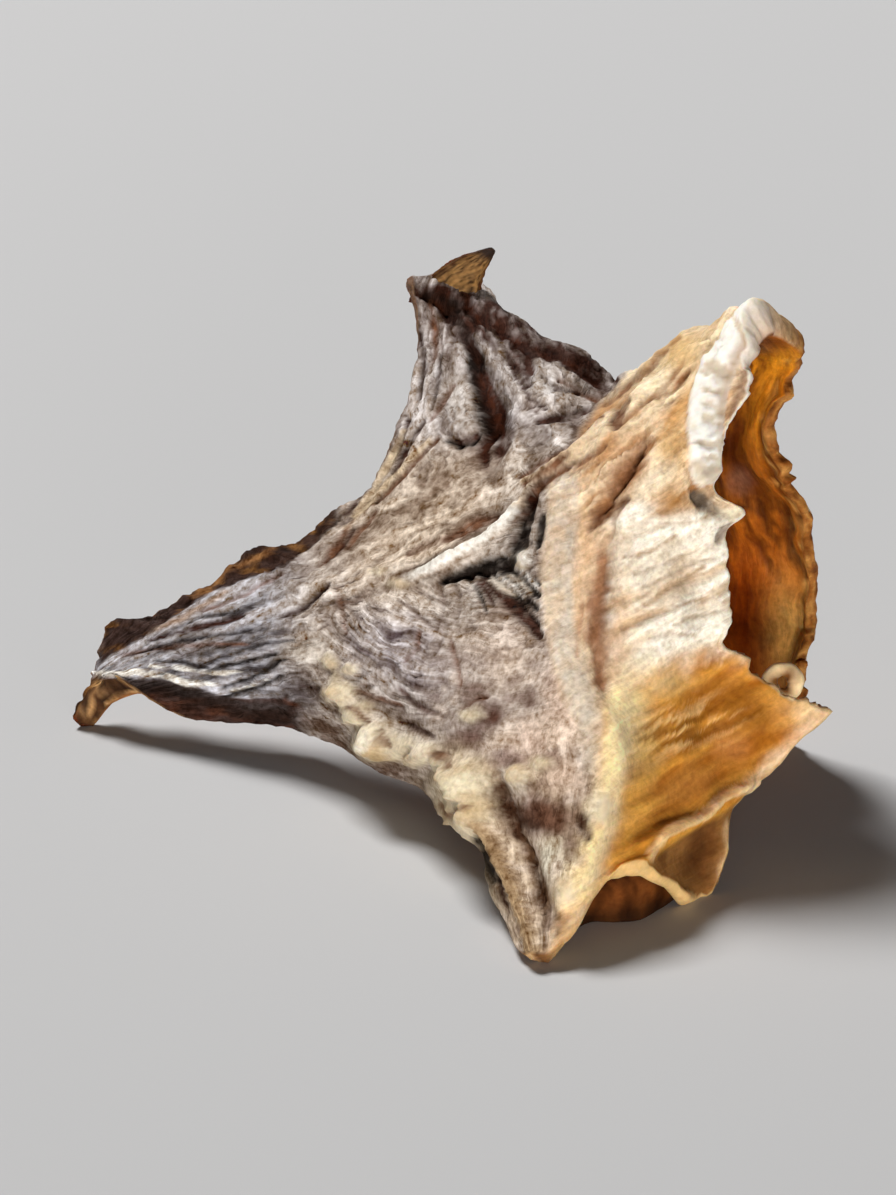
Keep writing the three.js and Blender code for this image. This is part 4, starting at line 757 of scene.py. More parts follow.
col = lay(col, (178, 158, 132), np.clip(leg_left * 1.3, 0, 1) * 0.75)
# painted highlight: a near-white line along the arm's curled edge
col = lay(col, (240, 232, 220), np.clip(arm_edge * 1.6, 0, 1) * 0.92)
# the arm's flank faces down: its dark brown is its flesh colour deepened by painted shade, with a painted shadow line
# at its foot
col = lay(col, (56, 30, 18), flank * 0.96)
col = lay(col, (104, 58, 36), flank * np.clip(-0.05 + 1.6 * fbm(X / 24, Y / 10, 114, 3), 0, 1))
col = lay(col, (70, 62, 60), flank * line([(110, 684), (160, 686), (204, 696), (240, 704), (284, 712)], 7, 0.3, 0.8) * 0.8)
col = lay(col, (26, 16, 10), flank * np.clip(line([(120, 690), (160, 690), (200, 702), (240, 716), (292, 722)], 9), 0, 1) * 0.7)
col = lay(col, (150, 98, 50), dot(92, 694, 26, 15) * 0.85)
col = lay(col, (206, 160, 104), dot(100, 688, 14, 8, 0.3, 1.4) * 0.8)
col = lay(col, (46, 28, 16), (dot(80, 706, 8, 10, 0.0, 1.2) + dot(112, 694, 6, 8, 0.0, 1.2)) * 0.7)
col = lay(col, (50, 26, 13), rear * 0.96)
# patchy orange on the dark rear rim: partly its own colour, partly painted glints
col = lay(col, (138, 94, 48), rear * np.clip(-0.25 + 1.7 * fbm(X / 11, Y / 8, 87, 3), 0, 1) * 0.9)
col = lay(col, (178, 134, 86), line([(150, 634), (176, 622), (200, 606), (226, 590)], 3.5, 0.4, 0.5) * 0.6)
col = lay(col, (182, 128, 78), line([(190, 592), (216, 572), (244, 556), (272, 544)], 3.0, 0.4, 0.6) * 0.6)
for colour, m_ in marks:
    col = lay(col, colour, m_)
col = lay(col, (255, 251, 242), np.clip(lip * 1.7, 0, 1) * 0.98)
col = lay(col, (206, 186, 158), np.clip(lip * 1.5, 0, 1) * np.clip(-1.9 * lip_cross - 0.6 * n_mid + 0.05, 0, 0.8))
# painted shade on the lip roll's right side, which turns inward
col = lay(col, (184, 154, 124), np.clip(lip * 1.4, 0, 1) * ease(X - lip_x, 4, 17) * (1 - ease(Y, 410, 450)) * 0.8)
col = lay(col, (206, 184, 158), np.clip(lip * 1.4, 0, 1) * ease(X - lip_x, 5, 17) * ease(Y, 410, 450) * 0.6)
shade_in = line([(752, 352), (742, 385), (730, 415)], 7, 0.3, 0.3)
col = lay(col, (150, 116, 92), shade_in * 0.8)
col = lay(col, (245, 228, 196), dot(736, 512, 13, 7, -0.2) * 0.9)
col = lay(col, (226, 188, 126), np.clip(ease(X, 750, 770) * (1 - ease(Y, 350, 382)) * (0.85 + 0.5 * n_mid), 0, 1) * 0.9)
near_col = col

# far outer face
ft = np.clip(0.55 + 0.6 * fsp + 0.75 * ffl, 0, 1)
fcol = lin((92, 72, 60)) * (1 - ft[..., None]) + lin((200, 184, 168)) * ft[..., None]
fcol = lay(fcol, (130, 98, 70), np.clip(0.1 + 1.3 * fbm(A / 7, B / 9, 121, 3), 0, 1) * 0.7)
fcol = lay(fcol, (58, 38, 28), np.clip(0.8 * fcr + 0.6 * fnet, 0, 1) * 0.8)
flt = np.clip(0.55 + 1.2 * ffib, 0, 1)
fcol2 = lin((168, 118, 66)) * (1 - flt[..., None]) + lin((236, 206, 160)) * flt[..., None]
fcol2 = lay(fcol2, (178, 112, 40), ease(Vv, 1.3, 1.9) * 0.6)
fcol = fcol * (1 - fleshy_far[..., None]) + fcol2 * fleshy_far[..., None]
fcol = lay(fcol, (150, 92, 40), ease(Vv, 1.72, 2.0) * 0.6)
near_c = 1 - ease(Vv, 1.04, 1.12)
col = near_col * near_c[..., None] + fcol * (1 - near_c)[..., None]

# inner face: dried flesh, dark brown to amber, with painted light as bright amber near the top
it = np.clip(0.5 + 1.3 * ist + 0.4 * isf, 0, 1)
icol = lin((88, 38, 6)) * (1 - it[..., None]) + lin((178, 98, 24)) * it[..., None]
icol = lay(icol, (76, 34, 8), np.clip(-isf * 1.6 - 0.1, 0, 1) * 0.7)
icol = lay(icol, (60, 26, 6), far * np.exp(-(ist / 0.10) ** 2) * 0.55)
# painted light: bright amber at the top of the far wall, as if lit through the thin sheet
icol = lay(icol, (236, 152, 34), far * (1 - ease(Yi, 400, 470)) * ease(Xi, 735, 760) * 0.65)
icol = lay(icol, (96, 40, 8), far * (1 - ease(Yi, 440, 520)) * ease(Yi, 330, 350) * np.clip(-1.5 * isf - 0.9 * ist, 0, 1) * 0.8)
icol = lay(icol, (174, 70, 6), far * np.exp(-(((Xi - 738) / 30) ** 2 + ((Yi - 610) / 60) ** 2)) * 0.8)
icol = lay(icol, (140, 92, 66), far * np.exp(-(((Xi - 738) / 13) ** 2 + ((Yi - 482) / 13) ** 2) ** 2) * 0.75)
# painted shade: a dark brown patch below the inner curl
icol = lay(icol, (54, 24, 8), far * np.exp(-(((Xi - 742) / 20) ** 2 + ((Yi - 506) / 8) ** 2)) * 0.7)
icol = lay(icol, (224, 170, 92), far * np.exp(-(((Xi - 788) / 20) ** 2 + ((Yi - 630) / 45) ** 2)) * 0.85)
icol = lay(icol, (216, 160, 84), bump(U, 1.0, 0.025) * far * np.clip(0.1 + 1.6 * fbm(A / 0.7, B / 0.9, 133, 2), 0, 1) * 0.8)
icol = lay(icol, (148, 110, 72), near * (1 - ease(Vv, 0.9, 1.05)) * 0.55)
icol = lay(icol, (110, 76, 48), near * np.clip(0.1 + 1.4 * fbm(A / 5, B / 5, 134, 3), 0, 1) * 0.5)

# surface qualities: roughness, how fleshy (translucent), how grainy
rough = 0.74 - 0.06 * right - 0.20 * dish * (1 - panel) - 0.04 * cream
grain = 1.0 - 0.45 * right - 0.12 * dish
grain = np.clip(grain - 0.5 * np.clip(lip * 2, 0, 1) - 0.5 * smooth_, 0.12, 1)
fleshy = np.clip(0.27 * right + 0.35 * dish + 0.2 * knob, 0, 1)
fleshy = np.where(fleshy < 0.02, 0.0, fleshy)          # plain skin lets no light through
rough = rough * near + (0.74 - 0.12 * fleshy_far) * far
grain = grain * near + (1 - 0.45 * fleshy_far) * far
fleshy = fleshy * near + (0.15 + 0.3 * fleshy_far) * far
roughI = 0.52 * one; grainI = 0.45 * one; fleshyI = 0.25 + 0.45 * far

# coordinates the material's fine wrinkles and fibres follow: (across, along, weight)
def flow_field(across, along, weight):
    return np.stack([across + 0 * U, along + 0 * U, weight + 0 * U], -1)
FLOWS = {
    "flow_arm": flow_field(thL * 38 + 1.0 * warp1, rL / 34 + 0.3 * warp2, near * skin * wL / total_w * 0.9 * (1 - 0.92 * smooth_)),
    "flow_horn": flow_field(thH * 17 + 1.2 * warp1, rH / 21 + 0.5 * warp2, near * skin * wH / total_w),
    "flow_ring": flow_field(rM / 5.5 + 1.8 * n_slow + 0.5 * n_mid, thM * 5.0 + 0.8 * m_slow + 0.3 * m_mid, near * skin * wM / total_w * (1 - 0.6 * calm) * (1 - upper_w) * (1 - 0.92 * smooth_)),
    "flow_upper": flow_field(acrU / 5.2, alU / 26 + 0.4 * m_mid, near * skin * wM / total_w * 0.8 * upper_w * (1 - 0.92 * smooth_)),
    "flow_leg": flow_field(thG * 27 + 0.8 * warp1, rG / 38 + 0.3 * warp2, near * skin * wG / total_w * 0.8 * (1 - 0.92 * smooth_)),
    "flow_flesh": flow_field((X * 0.54 + Y * 0.84 + 6 * m_slow) / 6.5, (X * 0.84 - Y * 0.54) / 46, near * right * (0.62 - 0.22 * cream - 0.10 * dish)),
    "flow_far": flow_field(A / 0.55 + 1.2 * wA, B / 2.6, far),
}
INNER_FLOWS = {k: flow_field(0.0, 0.0, 0.0) for k in FLOWS}
INNER_FLOWS["flow_far"] = flow_field(A / 0.6 + 1.2 * wA, B / 2.6, 1.0)

# ------------------------------------------------------------------ closed mesh
RIM_ROWS = 5
verts, cols_, rough_, flesh_, grain_, uvs = [], [], [], [], [], []
flows_ = {k: [] for k in FLOWS}
def push(P, C, R, F, G, uv, flows):
    start = sum(len(v) for v in verts)
    verts.append(P.reshape(-1, 3)); cols_.append(C.reshape(-1, 3)); rough_.append(R.reshape(-1)); flesh_.append(F.reshape(-1)); grain_.append(G.reshape(-1)); uvs.append(uv.reshape(-1, 2))
    for k in FLOWS:
        flows_[k].append(flows[k].reshape(-1, 3))
    return start
o0 = push(outer, col, rough, fleshy, grain, np.stack([0.005 + 0.60 * U, 0.005 + 0.99 * Vv / 2], -1), FLOWS)
iu = np.arange(0, NU, 2); iv = np.arange(0, NV, 2)
sub = np.ix_(iv, iu)
i0 = push(inner[sub], icol[sub], roughI[sub], fleshyI[sub], grainI[sub], np.stack([0.62 + 0.30 * U[sub], 0.005 + 0.99 * Vv[sub] / 2], -1),
          {k: v[sub] for k, v in INNER_FLOWS.items()})
oid = lambda j, i: o0 + j * NU + i
NUi = len(iu)
iid = lambda j, i: i0 + (j // 2) * NUi + (i // 2)
faces = []
J, I = np.meshgrid(np.arange(NV - 1), np.arange(NU - 1), indexing='ij')
quads_o = np.stack([oid(J, I), oid(J, I + 1), oid(J + 1, I + 1), oid(J + 1, I)], -1).reshape(-1, 4)
J, I = np.meshgrid(np.arange(0, NV - 1, 2), np.arange(0, NU - 1, 2), indexing='ij')
quads_i = np.stack([iid(J, I), iid(J + 2, I), iid(J + 2, I + 2), iid(J, I + 2)], -1).reshape(-1, 4)
loop = [(0, i) for i in range(NU - 1)] + [(j, NU - 1) for j in range(NV - 1)] \
     + [(NV - 1, i) for i in range(NU - 1, 0, -1)] + [(j, 0) for j in range(NV - 1, 0, -1)]
lj = np.array([a for a, _ in loop]); li = np.array([b for _, b in loop])
away = np.zeros((len(loop), 3))
away += np.where((lj == 0)[:, None], -ev[lj, li], 0) + np.where((lj == NV - 1)[:, None], ev[lj, li], 0)
away += np.where((li == 0)[:, None], -eu[lj, li], 0) + np.where((li == NU - 1)[:, None], eu[lj, li], 0)
away /= np.linalg.norm(away, axis=-1, keepdims=True)
Pin, Pout = inner[lj, li], outer[lj, li]
# the inner loop only has every other vertex, so the rim starts on straight pieces there
for k in range(1, len(loop), 2):
    Pin[k] = 0.5 * (Pin[k - 1] + Pin[(k + 1) % len(loop)])
centre, arm_ = 0.5 * (Pin + Pout), 0.5 * (Pout - Pin)
s_run = np.cumsum(np.linalg.norm(np.roll(centre, -1, 0) - centre, axis=1))
uL, vL = U[lj, li], Vv[lj, li]
rim_ids = []
rimlight = fbm(s_run / 1.1, s_run * 0 + 1.7, 141, 3)
is_lip = bump(uL, 1.0, 0.01) * ease(vL, 0.60, 0.66) * (1 - ease(vL, 0.99, 1.03))
is_farright = bump(uL, 1.0, 0.01) * ease(vL, 1.03, 1.08)
is_near_edge = bump(uL, 1.0, 0.01) * (1 - ease(vL, 0.60, 0.66)) * ease(vL, 0.1, 0.2)
is_arch = bump(vL, 0.0, 0.01) * ease(uL, 0.60, 0.64) * (1 - ease(uL, 0.80, 0.84))
is_rear = bump(uL, 0.0, 0.01) * (1 - ease(vL, 0.5, 0.6))
is_hornside = bump(uL, 0.0, 0.01) * ease(vL, 0.5, 0.6) * (1 - ease(vL, 1.05, 1.12))
is_arm = bump(vL, 0.0, 0.01) * (1 - ease(uL, 0.26, 0.32))
is_dish = ((uL > 0.88) & (vL < 0.2)).astype(float)
def rim_flow(r):
    z = np.zeros((len(loop), 3)); f = {k: z for k in FLOWS}
    f["flow_far"] = np.stack([s_run / 0.55, np.full(len(loop), 0.35 * r), np.full(len(loop), 0.7)], -1)
    return f
for r in range(1, RIM_ROWS + 1):
    phi = -math.pi / 2 + math.pi * r / (RIM_ROWS + 1)
    jag = (1 - 0.7 * is_arch) * (0.16 * noise(s_run / 0.45, s_run * 0 + r * 0.9, 151) + 0.10 * noise(s_run / 0.2, s_run * 0 + r * 1.7, 152))
    P = centre + arm_ * math.sin(phi) + away * ((RIM_BULGE + jag) * math.cos(phi))[:, None]
    outer_side = r / (RIM_ROWS + 1)
    c = lin((150, 104, 62)) * np.ones((len(loop), 1))
    c = lay(c, (206, 172, 126), np.clip(0.35 + rimlight + 0.4 * noise(s_run / 0.5, s_run * 0 + r, 153), 0, 1) * 0.8)
    c = lay(c, (78, 46, 26), np.clip(-rimlight * 1.3 + 0.3 * noise(s_run / 0.6, s_run * 0 + r, 154), 0, 1) * 0.8)
    armspot = noise(s_run / 0.9, s_run * 0 + 0.9 * r, 156) + 0.6 * noise(s_run / 0.4, s_run * 0 + 1.7 * r, 157)
    c = lay(c, (72, 44, 26), is_arm * 0.92)
    c = lay(c, (206, 158, 104), is_arm * np.clip(0.15 + 1.3 * armspot, 0, 1) * 0.8)
    c = lay(c, (30, 18, 12), is_arm * np.clip(-1.3 * armspot - 0.2, 0, 1) * 0.8)
    c = lay(c, (206, 168, 146), is_arm * ease(uL, 0.08, 0.14) * np.clip(0.5 + 1.2 * rimlight, 0, 1) * (1 - outer_side) * 1.2)
    c = lay(c, (58, 32, 16), is_rear * 0.85)
    # patchy orange on the rear rim: partly its own colour, partly painted glints
    c = lay(c, (168, 116, 66), is_rear * np.clip(-0.1 + 1.5 * rimlight, 0, 1) * 0.8)
    # the lip's rim: painted shade on the side turned inward, brightening to white outside
    c = c * (1 - is_lip[:, None]) + (lin((176, 140, 112)) * (1 - outer_side) + lin((250, 243, 228)) * outer_side) * is_lip[:, None]
    c = lay(c, (240, 218, 182), is_near_edge * (0.4 + 0.5 * outer_side))
    c = lay(c, (198, 146, 84), is_near_edge * (1 - ease(vL, 0.26, 0.36)) * 0.85)
    c = lay(c, (104, 82, 70), is_hornside * 0.85)
    c = lay(c, (232, 196, 148), is_dish * 0.85)
    mottle = 0.9 * rimlight + 0.7 * noise(s_run / 0.7, s_run * 0 + 0.7 * r, 155)
    c = lay(c, (150, 88, 30), is_farright * 0.9)
    c = lay(c, (196, 142, 74), is_farright * np.clip(0.1 + 1.4 * mottle, 0, 1) * 0.85)
    c = lay(c, (84, 42, 12), is_farright * np.clip(-1.4 * mottle - 0.1, 0, 1) * 0.85)
    c = lay(c, (228, 188, 126), is_arch * 0.9)
    rim_ids.append(push(P, c, 0.6 * np.ones(len(loop)), 0.35 * np.ones(len(loop)), 0.6 - 0.4 * is_lip - 0.4 * is_arch,
                        np.stack([0.94 + 0.05 * r / (RIM_ROWS + 1) * np.ones(len(loop)), s_run / s_run[-1] * 0.99 + 0.005], -1), rim_flow(r)))
L = len(loop)
def between(a_ids, b_ids):
    a, b = np.asarray(a_ids), np.asarray(b_ids)
    return np.stack([a, np.roll(a, -1), np.roll(b, -1), b], -1)
ring = lambda start: start + np.arange(L)
quads_r = [between(ring(rim_ids[r]), ring(rim_ids[r + 1])) for r in range(RIM_ROWS - 1)]
quads_r.append(between(ring(rim_ids[-1]), oid(lj, li)))
# inner loop (every other vertex) to the first rim row
tris = []
first = ring(rim_ids[0])
for k in range(0, L, 2):
    a = iid(lj[k], li[k]); b = iid(lj[(k + 2) % L], li[(k + 2) % L])
    r0, r1, r2 = first[k], first[k + 1], first[(k + 2) % L]
    tris += [(a, r1, r0), (a, b, r1), (b, r2, r1)]
allq = np.concatenate([quads_o, quads_i] + quads_r)
verts_ = np.concatenate(verts)
# the feet are cut flat on the resting plane
verts_[:, 2] = np.maximum(verts_[:, 2], 0.0)

mesh = bpy.data.meshes.new("dried_fish")
nq, nt = len(allq), len(tris)
mesh.vertices.add(len(verts_))
mesh.vertices.foreach_set("co", (verts_ / 1000.0).astype(np.float32).ravel())
mesh.loops.add(nq * 4 + nt * 3)
loopv = np.concatenate([allq.ravel(), np.array(tris).ravel()])
mesh.loops.foreach_set("vertex_index", loopv.astype(np.int32))
mesh.polygons.add(nq + nt)
starts = np.concatenate([np.arange(nq) * 4, nq * 4 + np.arange(nt) * 3])
mesh.polygons.foreach_set("loop_start", starts.astype(np.int32))
mesh.polygons.foreach_set("loop_total", np.concatenate([np.full(nq, 4), np.full(nt, 3)]).astype(np.int32))
mesh.update(calc_edges=True)
mesh.validate()
mesh.polygons.foreach_set("use_smooth", np.ones(len(mesh.polygons), bool))
C = np.concatenate(cols_); C = np.concatenate([np.clip(C, 0, 1), np.ones((len(C), 1))], 1)
att = mesh.color_attributes.new("tint", 'FLOAT_COLOR', 'POINT')
att.data.foreach_set("color", C.astype(np.float32).ravel())
for name, data in (("rough", np.concatenate(rough_)), ("flesh", np.concatenate(flesh_)), ("grain", np.concatenate(grain_))):
    a = mesh.attributes.new(name, 'FLOAT', 'POINT')
    a.data.foreach_set("value", data.astype(np.float32))
for name in FLOWS:
    mesh.attributes.new(name, 'FLOAT_VECTOR', 'POINT').data.foreach_set("vector", np.concatenate(flows_[name]).astype(np.float32).ravel())
uvl = mesh.uv_layers.new(name="OFBake")
uvl.data.foreach_set("uv", np.concatenate(uvs)[loopv].astype(np.float32).ravel())
piece = bpy.data.objects.new("stockfish_look", mesh)
bpy.context.scene.collection.objects.link(piece)
print("triangles", nq * 2 + nt, "verts", len(verts_))

# ------------------------------------------------------------------ material
def make_material():
    mat = bpy.data.materials.new("dried_fish")
    mat.use_nodes = True
    nt_ = mat.node_tree; N = nt_.nodes; K = nt_.links
    N.clear()
    out = N.new("ShaderNodeOutputMaterial"); bsdf = N.new("ShaderNodeBsdfPrincipled")
    K.new(bsdf.outputs[0], out.inputs[0])
    def attr(name):
        n = N.new("ShaderNodeAttribute"); n.attribute_name = name; return n
    tint, ro, fl, gr = attr("tint"), attr("rough"), attr("flesh"), attr("grain")
    tc = N.new("ShaderNodeTexCoord")
    def tex(scale, detail, rough_=0.6):
        n = N.new("ShaderNodeTexNoise"); n.inputs["Scale"].default_value = scale
        n.inputs["Detail"].default_value = detail; n.inputs["Roughness"].default_value = rough_
        K.new(tc.outputs["Object"], n.inputs["Vector"]); return n
    fine_n = tex(1900, 2, 0.62)
    mid_n = tex(650, 2, 0.6)
    def remap(src, lo, hi, to0, to1):
        r = N.new("ShaderNodeMapRange"); r.inputs[1].default_value = lo; r.inputs[2].default_value = hi
        r.inputs[3].default_value = to0; r.inputs[4].default_value = to1
        K.new(src, r.inputs[0]); return r.outputs[0]
    def math_(op, a, b=0.0):
        n = N.new("ShaderNodeMath"); n.operation = op
        for k, v in ((0, a), (1, b)):
            if isinstance(v, (int, float)): n.inputs[k].default_value = v
            else: K.new(v, n.inputs[k])
        return n.outputs[0]
    # fine wrinkles and fibres along each flow, and thin dark lines where the noise crosses its middle
    swing, lines = None, None
    for number, name in enumerate(FLOWS):
        sep = N.new("ShaderNodeSeparateXYZ"); K.new(attr(name).outputs["Vector"], sep.inputs[0])
        at = N.new("ShaderNodeCombineXYZ"); K.new(sep.outputs[0], at.inputs[0])
        K.new(math_('ADD', sep.outputs[1], 37.0 * number), at.inputs[1])
        n = N.new("ShaderNodeTexNoise"); n.noise_dimensions = '2D'; n.inputs["Scale"].default_value = 1.0
        n.inputs["Detail"].default_value = 3; n.inputs["Roughness"].default_value = 0.58
        K.new(at.outputs[0], n.inputs["Vector"])
        centred = math_('SUBTRACT', n.outputs["Fac"], 0.5)
        part = math_('MULTIPLY', centred, sep.outputs[2])
        dark = math_('MULTIPLY', remap(math_('ABSOLUTE', centred), 0.0, 0.030, 1.0, 0.0), sep.outputs[2])
        swing = part if swing is None else math_('ADD', swing, part)
        lines = dark if lines is None else math_('ADD', lines, dark)
    lines = math_('MULTIPLY', lines, remap(mid_n.outputs["Fac"], 0.38, 0.62, 0.0, 1.0))
    speckle = remap(fine_n.outputs["Fac"], 0.3, 0.7, -0.40, 0.40)
    level = math_('ADD', math_('MULTIPLY', swing, 2.7), speckle)
    level = math_('SUBTRACT', level, math_('MULTIPLY', lines, 0.50))
    level = math_('MULTIPLY', level, gr.outputs["Fac"])
    tone = N.new("ShaderNodeCombineXYZ")            # the darker, the browner
    for k, strength in enumerate((0.86, 1.0, 1.14)):
        K.new(math_('MAXIMUM', math_('ADD', math_('MULTIPLY', level, strength), 1.0), 0.05), tone.inputs[k])
    vm = N.new("ShaderNodeVectorMath"); vm.operation = 'MULTIPLY'
    K.new(tint.outputs["Color"], vm.inputs[0]); K.new(tone.outputs[0], vm.inputs[1])
    K.new(vm.outputs[0], bsdf.inputs["Base Color"])
    K.new(math_('MULTIPLY', ro.outputs["Fac"], remap(mid_n.outputs["Fac"], 0.3, 0.7, 0.85, 1.15)), bsdf.inputs["Roughness"])
    K.new(fl.outputs["Fac"], bsdf.inputs["Subsurface Weight"])
    height = math_('SUBTRACT', math_('ADD', swing, math_('MULTIPLY', fine_n.outputs["Fac"], 0.16)), math_('MULTIPLY', lines, 0.16))
    bmp = N.new("ShaderNodeBump"); bmp.inputs["Distance"].default_value = 0.00045
    K.new(math_('MULTIPLY', gr.outputs["Fac"], 0.75), bmp.inputs["Strength"])
    K.new(height, bmp.inputs["Height"]); K.new(bmp.outputs[0], bsdf.inputs["Normal"])
    bsdf.inputs["Specular IOR Level"].default_value = 0.055
    bsdf.inputs["Subsurface Radius"].default_value = (1.0, 0.42, 0.14)
    bsdf.inputs["Subsurface Scale"].default_value = 0.0011
    return mat
mat = make_material()
mesh.materials.append(mat)
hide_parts("stockfish_piece")
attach(piece, "root")

# curled nub on the edge of the dish
def torus(centre, R, r, nu, nv, tilt):
    a = np.linspace(0, 2 * math.pi, nu, endpoint=False); b = np.linspace(0, 2 * math.pi, nv, endpoint=False)
    Aa, Bb = np.meshgrid(a, b, indexing='ij')
    rr = r * (1 + 0.10 * np.sin(2 * Aa + 1) + 0.04 * np.sin(7 * Aa + 2 * Bb))
    x = (R + rr * np.cos(Bb)) * np.cos(Aa); y = (R + rr * np.cos(Bb)) * np.sin(Aa); z = rr * np.sin(Bb)
    c, s = math.cos(tilt), math.sin(tilt)
    P = np.stack([x, y * c - z * s, y * s + z * c], -1) + np.array(centre) - ORIGIN
    idx = np.arange(nu * nv).reshape(nu, nv)
    q = np.stack([idx, np.roll(idx, -1, 0), np.roll(np.roll(idx, -1, 0), -1, 1), np.roll(idx, -1, 1)], -1).reshape(-1, 4)
    # the tube is painted darker on its inner side: painted shade in the ring's hole
    t = np.clip(0.5 + 0.5 * np.cos(Bb) + 0.25 * np.sin(3 * Aa + 2), 0, 1)[..., None]
    return P.reshape(-1, 3), q, (lin((120, 78, 40)) * (1 - t) + lin((238, 208, 162)) * t).reshape(-1, 3)
P, q, nubcol = torus(NUB['centre'], NUB['ring'], NUB['tube'], 72, 36, math.pi / 2 - 0.3)
nm = bpy.data.meshes.new("curled_nub")
nm.from_pydata((P / 1000).tolist(), [], q.tolist()); nm.update()
nm.polygons.foreach_set("use_smooth", np.ones(len(nm.polygons), bool))
ca = nm.color_attributes.new("tint", 'FLOAT_COLOR', 'POINT')
ca.data.foreach_set("color", np.concatenate([nubcol, np.ones((len(nubcol), 1))], 1).astype(np.float32).ravel())
for name, value in (("rough", 0.5), ("flesh", 0.4), ("grain", 0.4)):
    nm.attributes.new(name, 'FLOAT', 'POINT').data.foreach_set("value", np.full(len(P), value, np.float32))
nub = bpy.data.objects.new("curled_nub", nm)
bpy.context.scene.collection.objects.link(nub)
nm.materials.append(mat)
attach(nub, "root")

# curled tip of the horn: a bent, flattened cone with a hollow front
def horn_tip(along, around):
    t = HORN_TIP; s = np.linspace(0, 1, along)[:, None]; phi = np.linspace(0, 2 * math.pi, around, endpoint=False)[None]
    c = ((1 - s)[..., None] ** 2 * np.array(t['root']) + (2 * s * (1 - s))[..., None] * np.array(t['bend'])
         + (s * s)[..., None] * np.array(t['end']) - ORIGIN)
    lean = math.atan2(t['end'][2] - t['root'][2], t['end'][0] - t['root'][0]) * s + math.pi / 2 * (1 - s)
    wide = t['point'] + (t['wide'] - t['point']) * (1 - s) ** 0.85
    deep = t['point'] + (t['deep'] - t['point']) * (1 - s)
    ragg = 1 + 0.10 * noise(s * 7 + 3 * np.cos(phi), 2 + 3 * np.sin(phi), 161) + 0.06 * noise(s * 20 + 6 * np.cos(phi), 6 * np.sin(phi), 162)
    x = wide * np.cos(phi) * ragg
    y = deep * np.sin(phi) * ragg + np.where(np.sin(phi) < 0, 2 * t['groove'] * np.sin(phi) ** 2 * (1 - s), 0)
    P = np.stack([c[..., 0] + x * np.sin(lean), c[..., 1] + y, c[..., 2] - x * np.cos(lean)], -1)
    edge = np.abs(np.cos(phi)) ** 6
    tone_ = np.clip(0.5 + 0.6 * noise(s * 9, phi * 5, 163) + 0.5 * noise(s * 22, phi * 11, 164), 0, 1)
    colour = lin((56, 36, 18)) * (1 - tone_[..., None]) + lin((156, 116, 68)) * tone_[..., None]
    colour = lay(colour, (60, 30, 14), edge * 0.9 + 0 * s)
    colour = lay(colour, (46, 34, 28), ease(s, 0.78, 0.92) + 0 * phi)
    colour = lay(colour, (58, 32, 18), (1 - ease(s, 0.12, 0.26)) + 0 * phi)
    return P.reshape(-1, 3), colour.reshape(-1, 3)
na, nb = 48, 56
P, tipcol = horn_tip(na, nb)
idx = np.arange(na * nb).reshape(na, nb)
nx = np.roll(idx, -1, 1)
q = np.stack([idx[:-1], nx[:-1], nx[1:], idx[1:]], -1).reshape(-1, 4).tolist()
q += [idx[0, ::-1].tolist(), idx[-1].tolist()]
tm = bpy.data.meshes.new("horn_tip"); tm.from_pydata((P / 1000).tolist(), [], q); tm.update()
tm.polygons.foreach_set("use_smooth", np.ones(len(tm.polygons), bool))
tm.color_attributes.new("tint", 'FLOAT_COLOR', 'POINT').data.foreach_set(
    "color", np.concatenate([np.clip(tipcol, 0, 1), np.ones((len(tipcol), 1))], 1).astype(np.float32).ravel())
for name, value in (("rough", 0.6), ("flesh", 0.3), ("grain", 0.6)):
    tm.attributes.new(name, 'FLOAT', 'POINT').data.foreach_set("value", np.full(len(P), value, np.float32))
tip_ob = bpy.data.objects.new("horn_tip", tm); bpy.context.scene.collection.objects.link(tip_ob)
tm.materials.append(mat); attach(tip_ob, "root")

# the edge tucked in under the arch: a short upright strip behind the near hem
def tucked(nc, nr):
    t = TUCK; u = np.linspace(t['start'], t['stop'], nc); k = np.linspace(0, 1, nr)[:, None]
    p = line_points(0, u)[None] + 0 * k[..., None]
    along_ = (u * SHEET_WIDTH)[None] + 0 * k; down = 6.0 * k + 0 * along_
    folds = fbm(along_ / 1.1 + 0.4 * noise(along_ / 2, down / 3, 171), down / 5, 172, 3)
    z = p[..., 2] + 0.4 + (t['foot'] - 0.7 - p[..., 2]) * k
    P = []
    for face in (-1, 1):
        y = p[..., 1] + t['behind'] + (t['back'] - t['behind']) * k + face * t['half'] - (0.22 * folds if face < 0 else 0)
        P.append(np.stack([p[..., 0], y, z], -1) - ORIGIN)
    tone_ = np.clip(0.45 + 1.3 * folds, 0, 1)
    colour = lin((56, 24, 4)) * (1 - tone_[..., None]) + lin((122, 68, 28)) * tone_[..., None]
    # painted shade: darker towards the floor, under the arch
    colour = lay(colour, (30, 16, 8), ease(k, 0.45, 0.95) * 0.8 + 0 * tone_)
    P = np.stack(P); P[..., 2] = np.maximum(P[..., 2], 0.0)
    ids = np.arange(2 * nr * nc).reshape(2, nr, nc)
    q = []
    def strip(a, b):
        q.extend(np.stack([a[:-1], b[:-1], b[1:], a[1:]], -1).tolist())
    for r in range(nr - 1):
        strip(ids[0, r], ids[0, r + 1]); strip(ids[1, r + 1], ids[1, r])
    strip(ids[1, 0], ids[0, 0]); strip(ids[0, -1], ids[1, -1])
    strip(ids[0, :, 0], ids[1, :, 0]); strip(ids[1, :, -1], ids[0, :, -1])
    return P.reshape(-1, 3), np.stack([colour, colour]).reshape(-1, 3), q
P, tuckcol, q = tucked(70, 26)
um = bpy.data.meshes.new("tucked_edge"); um.from_pydata((P / 1000).tolist(), [], q); um.update()
